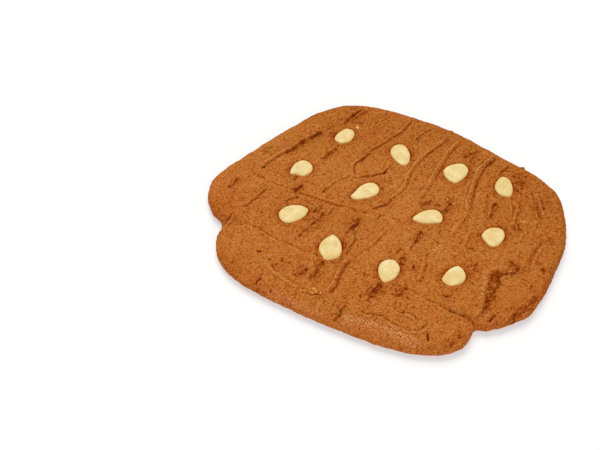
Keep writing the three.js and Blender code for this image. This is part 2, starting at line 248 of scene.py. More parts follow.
# The drag marks: the wire and the belt pulled grooves through the wet dough from back to front, each with
# a lip on one side, and where they caught, the skin tore into pits. A mark has its depth, half width, width
# of lip and route in the photograph's pixels, which sight lines carry to the top of the slab.
DRAGS = [
    (1.1, 0.8, 2.4, [(325, 131.5), (314.5, 136), (303, 142.3), (295, 147.6), (289, 151.5), (277.5, 157.5),
        (264, 166)]),
    (0.6, 1.3, 1.2, [(324, 132), (313, 137.5), (303, 143), (297, 147)]),
    (0.6, 1.4, 1.2, [(300, 145), (293, 150), (286, 153.5)]),
    (0.9, 0.75, 2.6, [(366, 109), (357, 113.5), (350, 119.5), (343, 126.5)]),
    (0.7, 0.75, 1.4, [(370, 110.5), (362, 115), (354, 120.5), (351, 124)]),
    (0.95, 0.95, 1.8, [(338.5, 148.8), (335.5, 150), (331.5, 152.8), (327.5, 156.3), (321, 160.5)]),
    (0.9, 0.75, 1.8, [(413, 120), (404, 131), (391, 139.5), (381, 146), (369, 152.5), (362, 160.5),
        (354.5, 165.5), (354, 172), (357, 178.5)]),
    (1.1, 0.85, 1.0, [(372, 152.5), (365, 157.5), (360.5, 162)]),
    (1.0, 0.75, 1.0, [(357, 163), (354, 168), (354.3, 174)]),
    (1.05, 0.8, 1.5, [(392, 164), (384.5, 173), (368, 177), (357, 178.5)]),
    (0.75, 0.75, 1.5, [(352, 177), (336, 182.5), (327, 190), (320, 193.5)]),
    (0.9, 0.75, 1.5, [(432, 129), (424, 134), (415, 141)]),
    (0.75, 0.75, 2.2, [(450, 139), (432, 152), (418, 165), (411, 175), (405.5, 189), (396, 197)]),
    (0.6, 0.75, 1.4, [(399, 194.5), (391, 201), (383, 206.5), (374, 211)]),
    (0.75, 0.75, 3.0, [(464, 142.5), (452, 152), (445, 163), (437, 177), (431, 187.5), (426, 194.5),
        (420.5, 203)]),
    (1.2, 0.8, 3.4, [(498, 157.5), (489.5, 165), (484, 170), (479, 180), (475, 191.5), (472, 203),
        (471.5, 212)]),
    (0.5, 0.75, 2.6, [(472, 208), (470, 214.5), (464, 222), (458, 231), (452, 238)]),
    (0.6, 0.7, 1.2, [(473, 178), (469.5, 187), (467.5, 197), (469, 209)]),
    (0.5, 0.7, 1.2, [(469, 211), (463, 217), (454, 223)]),
    (1.1, 0.85, 1.6, [(509, 166), (504, 171), (498, 176.5)]),
    (1.1, 0.9, 1.8, [(498, 203.5), (493.5, 206), (491.5, 214), (490.5, 220)]),
    (0.5, 0.7, 1.4, [(488, 194), (486, 206), (485, 216), (487, 223)]),
    (0.75, 0.85, 1.8, [(516, 200), (519, 204), (520.5, 210), (517.5, 216), (516.5, 222), (518.5, 227),
        (520.5, 233)]),
    (0.6, 0.7, 1.2, [(512, 202), (513.5, 211), (511.5, 218)]),
    (0.8, 0.8, 2.8, [(541, 221), (538, 213), (535.5, 204), (531, 193)]),
    (0.8, 1.0, 1.6, [(240, 177.5), (235, 182), (228, 188)]),
    (0.9, 0.75, 1.8, [(269, 188.5), (262, 193.5), (254, 199.5), (248, 205), (239, 207.5)]),
    (0.6, 0.7, 1.2, [(298, 192), (288, 188), (275, 184), (262, 177.5), (252, 173)]),
    (0.95, 0.75, 1.8, [(347, 208.5), (333, 204.5), (316, 199), (304, 195), (297, 192)]),
    (1.5, 0.85, 2.2, [(219, 227), (224, 222.5), (229, 217.5), (234.5, 212)]),
    (0.5, 0.75, 1.4, [(345, 208), (370, 214.5), (388, 217.5), (405, 225), (423, 234.5), (438, 242),
        (453, 250.5), (463, 256), (467, 263)]),
    (1.3, 0.8, 3.0, [(352, 260), (346, 267), (341, 276), (337.5, 285), (333, 291), (327, 295.5)]),
    (0.6, 0.75, 1.5, [(390, 229), (378, 241.5), (365, 253)]),
    (0.5, 0.7, 1.2, [(379, 231), (371, 234), (365, 240)]),
    (0.6, 0.7, 1.0, [(381, 216.5), (373.5, 223)]),
    (1.2, 1.6, 1.2, [(358.8, 217.5), (356.5, 222.5), (353, 228.5), (350.5, 231.5)]),
    (0.9, 0.85, 1.0, [(351.5, 228.5), (346, 232.5)]),
    (1.0, 0.8, 1.6, [(352, 234.5), (355.5, 238), (352.5, 244.5), (348.5, 251), (346, 257)]),
    (1.1, 1.3, 1.2, [(422, 230.5), (419, 237), (415, 243.5)]),
    (0.9, 0.8, 1.2, [(416.5, 241.5), (412, 247), (408.5, 250.5)]),
    (0.85, 0.8, 1.0, [(432, 228.5), (427, 231.5)]),
    (1.0, 1.8, 2.0, [(382.5, 284), (378.5, 288), (372.5, 293.5), (369, 298)]),
    (0.9, 0.8, 1.2, [(371.5, 294.5), (366.5, 302.5)]),
    (1.2, 1.4, 1.2, [(303, 186), (299, 188), (296, 190.5), (294, 194)]),
    (0.9, 1.1, 1.6, [(308.5, 268.5), (302, 273.5), (294, 276.5)]),
    (0.8, 1.05, 1.6, [(326, 261.5), (318, 267), (315, 275), (307, 281.5)]),
    (0.85, 0.8, 1.4, [(294, 287), (303, 289), (308.5, 291)]),
    (0.9, 0.8, 1.2, [(307.5, 296), (315, 295.5), (321, 297), (325, 303)]),
    (1.2, 1.0, 1.2, [(324.5, 213), (321, 217), (318.5, 223)]),
    (1.2, 1.0, 1.2, [(315.5, 221.5), (312.5, 225), (311.5, 229)]),
    (0.55, 0.75, 1.6, [(309, 228), (303, 233), (296, 237.5)]),
    (0.75, 0.75, 1.2, [(302, 200), (309, 203.5), (315.5, 207.5), (314.5, 213)]),
    (1.1, 1.1, 1.2, [(453.5, 198), (449.5, 205), (444, 215)]),
    (0.85, 0.8, 1.2, [(432, 201), (419.5, 207)]),
    (1.0, 1.0, 1.0, [(405, 252), (403, 259), (401.5, 267)]),
    (0.9, 0.9, 1.0, [(414.5, 263.5), (412.5, 270)]),
    (1.1, 0.8, 2.4, [(428, 257), (425, 270), (420.5, 284)]),
    (0.9, 0.8, 1.2, [(403.5, 291), (398, 296), (390.5, 294)]),
    (0.85, 0.8, 1.2, [(441.5, 290.5), (445, 296.5), (449, 298), (453.5, 294)]),
    (0.6, 0.7, 1.2, [(476, 230.5), (469, 237), (467, 246), (467.5, 253)]),
    (0.7, 0.9, 1.2, [(478, 262.5), (474.5, 268), (472, 271)]),
    (1.3, 1.1, 1.2, [(508.5, 262), (512.5, 263.5), (517, 269), (514, 273.5), (505, 272.5)]),
    (1.1, 0.85, 3.4, [(495.5, 314), (489, 321.5)]),
    (1.0, 0.8, 2.4, [(528, 265), (531, 258.5), (536, 250), (543, 241.5)]),
    (0.8, 0.75, 1.4, [(519, 278), (528, 282), (532, 286), (529, 291)]),
    (1.1, 0.8, 1.8, [(394, 310.5), (401, 313), (412, 315), (420, 322.5)]),
    (1.1, 0.8, 1.8, [(358, 310.5), (368, 315), (380.5, 316), (390, 323), (404, 329.5), (416, 331.3),
        (426, 325.5), (428, 319)]),
    (1.0, 0.85, 1.2, [(345.8, 304), (344.8, 308.5), (341, 311.5), (341, 314.5), (336.5, 317.5),
        (333.5, 321)]),
    (0.5, 0.8, 1.0, [(446.5, 340.5), (453, 345)]),
    (0.6, 0.8, 1.2, [(465, 342.5), (452, 350)]),
    (0.6, 0.75, 1.4, [(236, 223), (248, 223.5), (260, 228.7), (274, 238), (290, 244.4), (301, 250),
        (313, 253.5)]),
    (0.45, 0.7, 1.4, [(313, 253.5), (345, 266), (380, 280), (410, 290)]),
    (0.5, 0.65, 1.0, [(408, 289), (421, 296), (436, 303), (445, 307.5)]),
    (0.7, 0.65, 1.2, [(438, 304), (452, 311), (468, 317)]),
    (0.85, 0.8, 2.6, [(270, 262), (275, 270), (285, 277), (296, 284), (309, 286)]),
]
MARK_STEPS = 6
MARK_REACH = 14
FADE_LENGTH = 3.5
FADE_SHARE = 0.12
FADE_START = -0.1
# Uneven fields: waver and shred push a mark aside, crumble and chips break it up, and lumps swell its lip.
WAVER = ((3.3, 0.55, 11), (1.5, 0.25, 12))
SHRED = ((2.6, 0.9, 15), (1.3, 0.6, 16))
CRUMBLE = ((5.0, 0.9, 13), (1.9, 0.7, 14))
CHIPS = ((1.6, 1.3, 21), (3.1, 0.9, 22))
LUMPS = ((6.0, 0.8, 17), (2.2, 0.5, 19))
LUMP_LIMITS = (0.2, 1.7)
CHIPPED = 0.2
BREAK_LIMITS = (0, 1.6)
STEEP_SHARE = 0.6
FLANK = 0.65
FOOT_OFF = 1.6 * FLANK
LIP_FULL = 1.8
LIP_ROUND = 0.7
PIT_HALVES = (0.75, 1.05)
PIT_SHRED = 0.7
PIT_SPREAD = 2.6
GROOVE_SHARE = 0.45
PIT_SHARE = 0.25
FOOT_SHARE = 0.3
FOOT_LOST = 0.5
CREST_AT = 0.6
CREST_MOST = 0.9
FAR_OFF = 5.0
FAINT_STEP = 1.0
LINE_MOST = 0.95
WIDEST_LINE = 0.95
# A strength of four numbers has a level, a gain and two limits, and one of two has a gain and a level.
GROOVE_BREAKS = (0.55, 0.45)
PIT_BREAKS = (0.75, 0.8, 0.2, 1.4)
PIT_FLOOR = (0.85, 0.45, 0.3, 1.1)
PIT_BOTTOM = (-0.25, 1.8, 0, 1)
FOOT_BREAKS = (1.6, -1, 0.2, 1)
LINE_BREAKS = (0.5, 0.5, 0, 1.05)
GROOVE_DARK = (0.1, 0.2)
PIT_DARK = (0.22, 0.28)
FOOT_DARK = (0.2, 0.1)
LINE_CLEAR = (0.6, 0.35)


def plan(pixels, height):
    """The plan points where the sight lines through those pixels meet the level plane of that height."""
    pixels = np.asarray(pixels, float)
    wide = pixels[:, :1] - PICTURE[0] / 2
    high = PICTURE[1] / 2 - pixels[:, 1:]
    sight = FOCAL_PIXELS * ahead + wide * right + high * up
    return (EYE + sight * (height - EYE[2]) / sight[:, 2:])[:, :2]


def top_route(pixels):
    """The smooth line over the top of the slab that shows at those pixels."""
    return smooth_line(plan(pixels, THICKNESS), MARK_STEPS)


def near_route(route, reach=MARK_REACH):
    """The spots in the box round a route, widened by a reach, how far past the route each lies, and the
    share of its length there."""
    low, high = route.min(0) - reach, route.max(0) + reach
    found = np.flatnonzero(((spots > low) & (spots < high)).all(1))
    return found, *to_route(spots[found], route)


def end_fade(share, low, high):
    """A smooth rise from 0 to 1 between those shares of a route's length, from either end."""
    return ease(np.minimum(share, 1 - share), low, high)


def soft_ends(share, route):
    """A fade at both ends of a route over a few millimetres, or over less where the route is short."""
    length = np.linalg.norm(np.diff(route, axis=0), axis=1).sum()
    rise = min(FADE_LENGTH / length, FADE_SHARE)
    return end_fade(share, FADE_START * rise, rise)


def held(field, level, gain, low, high):
    """A level plus a gain times an uneven field, held within two limits."""
    return np.clip(level + gain * field, low, high)


def raise_to(layer, found, values):
    """Raises a layer at those spots to the values, where it is lower."""
    layer[found] = np.maximum(layer[found], values)


def lower_to(layer, found, values):
    """Lowers a layer at those spots to the values, where it is higher."""
    layer[found] = np.minimum(layer[found], values)


relief, hollow_shade, raised, torn = np.zeros((4, len(spots)))
shade_line_near, foot_shade_near, highlight_crest_near, crack_shade_near = np.full((4, len(spots)), FAR_OFF)
waver = ripples(x, y, WAVER)
shred = ripples(x, y, SHRED)
crumble = 1 + ripples(x, y, CRUMBLE)
chips = ripples(x, y, CHIPS)
lumps = np.clip(1 + ripples(x, y, LUMPS), *LUMP_LIMITS)
groove_breaks = np.clip(np.polyval(GROOVE_BREAKS, crumble) + CHIPPED * chips, *BREAK_LIMITS)
pit_breaks = held(chips, *PIT_BREAKS)
pit_floor = held(chips, *PIT_FLOOR)

for depth, half, lip, pixels in DRAGS:
    route = top_route(pixels)
    found, past, share = near_route(route)
    fade = soft_ends(share, route)
    pit = ease(half, *PIT_HALVES)
    raise_to(torn, found, pit * fade * bell(past / (PIT_SPREAD * half)))
    past = past + waver[found] + PIT_SHRED * pit * shred[found]
    broken = (1 - pit) * groove_breaks[found] + pit * pit_breaks[found]
    groove = fade * broken * bell(past / np.where(past < 0, STEEP_SHARE * half, half))
    foot = past + lip + FOOT_OFF
    foot_groove = fade * held(broken, *FOOT_BREAKS) * bell(foot / FLANK)
    off_middle = past + 0.5 * lip + FLANK
    reach = 0.5 * (lip + FLANK)
    back = fade * lumps[found] * np.clip(1 - (off_middle / reach) ** 2, 0, 1) ** LIP_ROUND
    sunk = (GROOVE_SHARE + PIT_SHARE * pit) * groove + FOOT_SHARE * foot_groove
    relief[found] += depth * (min(1, reach / LIP_FULL) * back - sunk)

    # Painted shade darkens the groove, the foot of the lip and the floor of a pit, which is partly its
    # darker open crumb.
    bottom = fade * held(bell(past / half), *PIT_BOTTOM) * pit_floor[found]
    dark = (1 - pit) * np.polyval(GROOVE_DARK, depth) * groove + pit * np.polyval(PIT_DARK, depth) * bottom
    raise_to(hollow_shade, found, dark)
    raise_to(hollow_shade, found, (1 - FOOT_LOST * pit) * np.polyval(FOOT_DARK, depth) * foot_groove)
    # A painted line of shade runs along the groove and the foot of the lip, and a painted highlight along
    # the lit side of the lip.
    clear = fade * min(np.polyval(LINE_CLEAR, depth), LINE_MOST) * held(broken, *LINE_BREAKS)
    faint = FAINT_STEP * (1 - clear) + FAR_OFF * (half > WIDEST_LINE)
    lower_to(shade_line_near, found, abs(past) + faint)
    lower_to(foot_shade_near, found, abs(foot) + faint)
    lower_to(highlight_crest_near, found, abs(off_middle + CREST_AT * reach) + faint)
    crest = bell(off_middle, min(depth, CREST_MOST), -0.5 * reach, 0.5 * reach)
    raise_to(raised, found, fade * lumps[found] * crest)


# The scratches: fine scores along the drag, left all over the dough by grit on the belt. The place across,
# the start, length, slant and depth of each are drawn at random from these ranges.
SCRATCH_RANGES = ((6, 214), (20, 190), (8, 40), (-0.12, 0.12), (0.1, 0.35))
SCRATCH_COUNT = 110
SCRATCH_SEED = 18
SCRATCH_HALF = 0.55
SCRATCH_LIP = 1.6
SCRATCH_WAVER = 0.8
SCRATCH_FADE = 0.25
SCRATCH_BREAKS = (-0.3, 1, 0, 1.4)
SCRATCH_DARK = 0.9
EVERYWHERE = slice(None)

draw = np.random.default_rng(SCRATCH_SEED)
scratches = [draw.uniform(*limits, SCRATCH_COUNT) for limits in SCRATCH_RANGES]
scratch_breaks = held(crumble, *SCRATCH_BREAKS)
for at, start, length, slant, depth in zip(*scratches):
    past = across - at - slant * (along - start) + SCRATCH_WAVER * waver
    line = scratch_breaks * end_fade((start - along) / length, 0, SCRATCH_FADE)
    groove = line * bell(past / SCRATCH_HALF)
    back = line * bell(past + SCRATCH_LIP)
    relief += depth * (back - groove)
    # Painted shade darkens each score, and a painted highlight lightens its lip.
    raise_to(hollow_shade, EVERYWHERE, SCRATCH_DARK * depth * groove)
    raise_to(raised, EVERYWHERE, depth * back)


# The cracks: thin splits that opened in the skin as it dried and shrank in the oven. Each is a depth in
# millimetres and a traced route.
CRACKS = [
    (0.45, [(264.3, 272.3), (261.8, 275), (260, 278.8)]),
    (0.75, [(261, 276.8), (259.8, 279), (257, 279.9), (255.6, 282.6), (254, 283.6)]),
    (0.35, [(466, 259), (468.5, 264)]),
    (0.45, [(472, 263), (475, 266.5), (474, 270.5)]),
    (0.35, [(477.5, 267), (476.5, 272)]),
    (0.35, [(468.5, 274), (471.5, 278)]),
    (0.8, [(446, 309), (456, 312.8), (467, 317)]),
    (1.2, [(427.7, 332.5), (427.5, 337), (428.8, 342.5)]),
    (1.0, [(405.5, 287.3), (407.3, 289.8)]),
    (0.8, [(303.5, 185.2), (299, 187.3)]),
    (0.8, [(293, 180), (297.3, 177.8)]),
    (0.7, [(305, 182.3), (308.5, 181.3)]),
    (0.9, [(266.5, 165.5), (262, 168.3)]),
    (0.9, [(386, 171.5), (383.5, 174.8)]),
    (0.7, [(358, 178.3), (354, 178)]),
    (0.7, [(353, 233.5), (356, 237)]),
    (0.8, [(296.5, 196), (298.5, 198.5)]),
    (0.7, [(434, 241), (441, 245)]),
    (0.7, [(494, 315.5), (490, 321)]),
    (0.6, [(498.5, 203.5), (495, 206.5)]),
    (0.6, [(298, 288), (305, 290)]),
    (0.6, [(294, 238.5), (300, 241)]),
    (0.7, [(499, 272.5), (504, 273.8), (509, 272.2)]),
    (0.6, [(349, 231), (345, 234.5)]),
    (0.6, [(303, 234.5), (298, 238)]),
    (0.6, [(470, 318), (474, 322), (475, 328)]),
    (0.9, [(256.5, 252.3), (262, 251.8)]),
    (0.8, [(268, 260.2), (272, 259.8)]),
    (0.7, [(282.5, 257), (281.5, 262)]),
    (0.6, [(230.5, 263), (234, 261)]),
    (0.5, [(379, 317), (374, 322)]),
    (0.6, [(284, 203), (290, 199), (298, 197.3)]),
    (0.6, [(434, 204.5), (441.5, 206)]),
    (0.6, [(388, 253.5), (393, 251.5)]),
    (0.5, [(472, 252.5), (478.5, 248.5)]),
    (0.6, [(352, 123.5), (365, 123.3)]),
    (0.5, [(387.5, 112.5), (384, 117)]),
    (0.5, [(360.5, 293.5), (359.5, 304)]),
    (0.6, [(333.5, 208.5), (328, 216)]),
    (0.5, [(341, 203), (344, 201)]),
    (0.7, [(371, 210.5), (377, 208), (383, 206.5), (390, 205)]),
    (0.5, [(352, 211.5), (362, 213.5), (370, 213)]),
    (0.5, [(418, 206), (425, 204), (432, 206), (440, 205)]),
    (0.6, [(395, 256), (400, 250), (405, 252)]),
    (0.6, [(398, 262), (404, 259), (407, 263)]),
    (0.6, [(466, 246), (470, 249), (475, 247)]),
    (0.5, [(430, 252), (425, 258)]),
    (0.6, [(327, 188), (321, 193.5)]),
    (0.5, [(287, 176), (293, 177), (300, 177)]),
    (0.5, [(299, 310), (306, 314.5)]),
    (0.4, [(451, 191.5), (457, 187.5)]),
    (0.3, [(541, 198), (542.8, 204), (543.8, 212)]),
    (0.5, [(461.5, 157.5), (469, 156), (474, 153.5)]),
    (0.6, [(473, 154.5), (478.5, 150.5)]),
    (0.5, [(469, 163.5), (476, 160)]),
    (0.6, [(327, 132.5), (334, 133.5)]),
    (0.6, [(326, 129.5), (331, 127.5), (336, 125)]),
]
CRACK_HALF = 0.65
CRACK_WAVER = 0.3
CRACK_FADE = (-0.1, 0.2)
CRACK_DARK = 0.8
CRACK_CLEAR = (0.95, 0.15)
CRACK_FRAY = 0.15

for depth, pixels in CRACKS:
    found, past, share = near_route(top_route(pixels))
    fade = end_fade(share, *CRACK_FADE)
    crack = fade * bell((abs(past) + CRACK_WAVER * waver[found]) / CRACK_HALF)
    relief[found] -= depth * crack
    # Painted shade darkens each crack, and a painted line of shade runs along it.
    raise_to(hollow_shade, found, CRACK_DARK * min(depth, 1) * crack)
    faint = FAINT_STEP * (1 - fade * min(np.polyval(CRACK_CLEAR, depth), 1))
    lower_to(crack_shade_near, found, abs(past) + CRACK_FRAY * abs(shred[found]) + faint)


# The pinholes and rough patches: bubbles burst in the skin, and in places it was rubbed off, so that open
# crumb shows. Each is traced as its column, row and radius in the photograph's pixels.
PINHOLES = [
    (264, 151.5, 1.3), (271, 147.5, 1.1), (267.5, 171.5, 1.0), (262, 177, 1.4), (264.5, 166.5, 1.6),
    (234, 191, 1.0), (229.5, 202.5, 1.0), (261.5, 212, 1.0), (321.2, 208, 1.8), (314.8, 212, 1.8),
    (297.5, 197.5, 1.4), (332, 184, 1.0), (325, 175, 1.2), (390.5, 178.5, 1.2), (382, 190, 1.5),
    (351.5, 186.5, 1.0), (331, 122, 0.9), (325, 119.5, 0.9), (327, 126.5, 0.9), (376.5, 123, 1.7),
    (358, 305, 1.4), (473, 284, 1.3), (500, 316.5, 1.3), (253, 287, 1.3), (446, 134, 1.5), (449, 137, 1.5),
    (465.5, 157, 2.0), (476.5, 153, 1.5), (474, 164, 1.3), (509, 171.5, 1.5), (514, 177, 1.4),
    (517.5, 191, 1.9), (520.5, 182, 1.8), (526, 177, 1.5), (522, 189, 1.4), (531.5, 193.5, 1.3),
    (547, 227, 1.2), (556, 219, 1.2), (557, 232, 1.2), (507, 231, 1.2), (519, 229, 1.2), (260, 228.8, 1.3),
    (246, 242, 0.9), (270.5, 290, 1.2), (258, 287, 1.1), (289, 286.5, 1.1), (282, 294.5, 1.1),
    (290, 263, 1.0), (276, 265, 1.5), (284, 267, 1.3), (396, 248.5, 1.2), (406.2, 288.5, 1.7),
    (408, 299, 1.1), (429, 306, 1.0), (413, 308, 1.0), (410, 278, 1.0), (477, 242, 1.3),
    (491.5, 215.5, 1.4), (493, 211.5, 1.0), (475.3, 267, 1.2), (470, 260, 1.1), (477, 271, 1.0),
    (542.5, 201, 1.3), (543.8, 208.5, 1.3), (518, 174, 1.3), (515, 182, 1.5), (524, 183, 1.3),
    (521, 194, 1.3), (510, 262, 1.8), (543.5, 270, 2.6), (555, 254, 1.3), (547, 254, 1.2), (521, 242, 1.2),
    (516, 244, 1.2), (482, 287, 1.0), (481.5, 292, 1.0), (387, 339, 1.2), (381, 337, 1.1), (418, 348, 1.3),
    (402, 346, 1.1), (459.5, 337, 1.3), (459, 331, 1.2), (373.5, 317.5, 1.3), (380.5, 316, 1.2),
    (402, 313, 1.3), (395, 303, 1.2),
]
ROUGH_PATCHES = [
    (388, 203, 5), (428, 204, 8), (402, 258, 5), (472, 268, 9), (520, 184, 9), (541, 205, 7), (516, 228, 5),
    (316, 212, 8), (312, 224, 7), (302, 272, 8), (281, 265, 7), (352, 118, 8), (471, 158, 8), (449, 206, 6),
    (512, 268, 6), (268, 149, 5), (262, 227, 5), (384, 181, 6), (400, 292, 7), (340, 312, 6), (450, 342, 6),
    (460, 335, 6), (544, 269, 5), (549, 240, 6), (530, 302, 8), (517, 312, 7), (314, 218, 9), (306, 230, 6),
    (332, 134, 5), (413, 267, 5), (345, 244, 5), (503, 228, 5), (447, 296, 5), (374, 292, 7), (318, 296, 6),
    (360, 113, 6), (517, 178, 7), (470, 155, 7), (495, 209, 6), (543, 205, 5),
]
PIXEL = 0.63
PINHOLE_SHRED = 0.5
PINHOLE_DEPTH = 0.8
PINHOLE_DARK = 0.75
PATCH_TORN = 0.75
PATCH_LIMITS = (0, 1.4)


def away_from(place):
    """The distance of every spot from a plan point."""
    return np.hypot(*(spots - place).T)


for *pixel, radius in PINHOLES:
    size = radius * PIXEL
    hole = bell((away_from(plan([pixel], THICKNESS)) + PINHOLE_SHRED * shred) / size)
    relief -= PINHOLE_DEPTH * size * hole
    # Painted shade darkens each pinhole.
    raise_to(hollow_shade, EVERYWHERE, PINHOLE_DARK * hole)

for *pixel, radius in ROUGH_PATCHES:
    patch = bell(away_from(plan([pixel], THICKNESS)) / (radius * PIXEL))
    raise_to(torn, EVERYWHERE, PATCH_TORN * patch * np.clip(crumble, *PATCH_LIMITS))


# The crease: the edge of the folded strip, pressed down onto the body of the slab and baked shut. It runs
# from notch to notch as a faint broken line, and gapes at both ends.
CREASE = [(232, 222), (245, 222.7), (256, 227.3), (266.7, 233.3), (278.7, 240), (293, 245), (306.7, 250.7),
          (330, 262), (372, 278), (412, 291), (447, 310), (466, 316), (474, 324)]
CREASE_HALF = 1.2
CREASE_DEPTH = 0.3
CREASE_LIMITS = (0.3, 1.4)
CREASE_DARK = 0.25
CREASE_FAINT = (-0.7, 1.3)
GAPE_SHARE = 0.07
GAPE_DEPTH = 1.3
GAPE_SPREAD = 1.5
GAPE_CLEAR = 0.3

found, past, share = near_route(top_route(CREASE))
past = abs(past) + waver[found]
gape = bell(np.minimum(share, 1 - share) / GAPE_SHARE)
fold = bell(past / (CREASE_HALF * (1 + GAPE_SPREAD * gape))) * np.clip(crumble[found], *CREASE_LIMITS)
relief[found] -= (CREASE_DEPTH + GAPE_DEPTH * gape) * fold
# Painted shade darkens the crease, most where it gapes, and a painted line of shade runs along it.
faint = np.clip(np.polyval(CREASE_FAINT, crumble[found]) - GAPE_CLEAR * gape, 0, 1)
lower_to(shade_line_near, found, abs(past) + FAINT_STEP * faint)
raise_to(hollow_shade, found, CREASE_DARK * (1 + gape) * bell(past / SCRATCH_HALF) * scratch_breaks[found])


# The flaked rim: along the edge of the right lobe the skin broke off in a narrow strip as the slab was
# handled, and left crumbly dough between two lips. A lip has its height, middle and half width.
FLAKED_RIM = [(537, 294), (533, 297.5), (529, 303), (519, 309), (515, 313.5), (508, 320.5)]
FLAKE_WAVER = 1.2
FLAKE_SHRED = 0.8
FLAKE_RISE = (-0.5, 0.8)
FLAKE_FALL = (1.8, 3.8)
FLAKE_DEPTH = (0.54, 0.63)
FLAKE_DARK = (0.12, 0.32, 0, 0.5)
FLAKE_LIPS = ((0.7, -1.6, 1.1), (0.7, 4, 1.2))
FLAKE_LINE_AT = 0.4
FLAKE_LINE_FAINT = (-1.2, 1.5)


def strip(past, rise, fall):
    """1 on a strip beside a route: up over the first range of distances and down over the second."""
    return ease(past, *rise) * (1 - ease(past, *fall))


route = top_route(FLAKED_RIM)
found, past, share = near_route(route)
fade = soft_ends(share, route)
past = past + FLAKE_WAVER * waver[found] + FLAKE_SHRED * shred[found]
flaked = fade * strip(past, FLAKE_RISE, FLAKE_FALL)
relief[found] -= flaked * np.polyval(FLAKE_DEPTH, chips[found])
# Painted shade darkens the crumbly strip, which is partly its darker crumb, a painted highlight lightens the
# lips and a painted line of shade runs along its edge.
raise_to(hollow_shade, found, flaked * held(chips[found], *FLAKE_DARK))
raise_to(raised, found, fade * sum(bell(past, *lip) for lip in FLAKE_LIPS))
lower_to(shade_line_near, found, abs(past - FLAKE_LINE_AT) + np.polyval(FLAKE_LINE_FAINT, fade))
raise_to(torn, found, flaked)


# The tear: beside the right notch the strip pulled away from the body before the bake, which left a ragged
# trench with a lip on its left, and the lobe on its right lower. The trench's width and the place of its
# deepest line across it go by the share of its length.
TEAR = [(511, 270), (504.6, 271.4), (498.4, 270.4), (490, 272.8), (485.6, 287), (483.6, 302), (480.3, 312),
        (477.5, 318.5), (475, 327)]
TEAR_WIDTHS = ((0, 0.8), (0.07, 2.0), (0.12, 7.4), (0.2, 9.6), (0.27, 10), (0.36, 9.6), (0.45, 7.6),
               (0.64, 5.6), (0.74, 3.4), (0.8, 1.6), (0.92, 0.8))
TEAR_DEEPEST = ((0.2, 0.8), (0.45, 0.75), (0.62, 0.5), (0.8, 0.4))
TEAR_REACH = 24
TEAR_WAVER = 0.3
TEAR_BENDS = ((7, 0.7, 23),)
TEAR_FADE = 0.15
LOBE_DROP = 0.8
LOBE_RISE = (-0.4, 1.0)
LOBE_FALL = (2, TEAR_REACH)
TEAR_LIP = (0.8, -1.8, 1.5)
TEAR_LIGHT = (0.7, -1.6, 1.2)
TEAR_CREST_AT = -0.9
TEAR_CREST_FAINT = (-1.5, 1.75)
TRENCH_DEPTH = 1.0
TRENCH_HALF = 0.34
TRENCH_SHRED = 0.9
LEFT_FRAY = 0.15
LEFT_EDGE = (-0.1, 0.9)
RIGHT_FRAY = 1.3
RIGHT_EDGE = (-1.6, 1.4)
TRENCH_DARK = (0.26, 0.08)
DEEPEST_DARK = 0.34
DARK_LIMITS = (0.05, 1)
# A painted shadow in the trench is a bell along the tear times a bell across it. The one on the left ends
# over a range.
TEAR_SHADOWS = (
    ((0.4, 0.15, 0.05), (1, 3, 2.5)), ((0.35, 0.3, 0.07), (1, 7.5, 2)), ((0.5, 0.13, 0.05), (1, 6, 2)),
)
LEFT_TEAR_SHADOW = (0.25, 0.24, 0.06)
LEFT_TEAR_SHADOW_END = (2, 5)

found, past, share = near_route(top_route(TEAR), TEAR_REACH)
past = past + TEAR_WAVER * waver[found] + ripples(*spots[found].T, TEAR_BENDS)
fade = end_fade(share, 0, TEAR_FADE)
wide = np.interp(share, *np.transpose(TEAR_WIDTHS))
deepest_at = wide * np.interp(share, *np.transpose(TEAR_DEEPEST))
deepest = bell(past, 1, deepest_at, TRENCH_HALF * wide)
trench = fade * ease(past + LEFT_FRAY * shred[found], *LEFT_EDGE)
trench *= 1 - ease(past + RIGHT_FRAY * shred[found] - wide, *RIGHT_EDGE)
relief[found] += fade * (bell(past, *TEAR_LIP) - LOBE_DROP * strip(past, LOBE_RISE, LOBE_FALL))
relief[found] += trench * (TRENCH_SHRED * shred[found] - TRENCH_DEPTH * deepest)
# A painted highlight lightens the lip. The trench is painted darker: partly its darker crumb, partly shade
# at its deepest line and painted shadow under the lip.
raise_to(raised, found, fade * bell(past, *TEAR_LIGHT))
lower_to(highlight_crest_near, found, abs(past - TEAR_CREST_AT) + np.polyval(TEAR_CREST_FAINT, fade))
dark = np.polyval(TRENCH_DARK, chips[found]) + DEEPEST_DARK * deepest
dark += bell(share, *LEFT_TEAR_SHADOW) * (1 - ease(past, *LEFT_TEAR_SHADOW_END))
for lengthwise, crosswise in TEAR_SHADOWS:
    dark += bell(share, *lengthwise) * bell(past, *crosswise)
raise_to(hollow_shade, found, trench * np.clip(dark, *DARK_LIMITS))
raise_to(torn, found, trench)
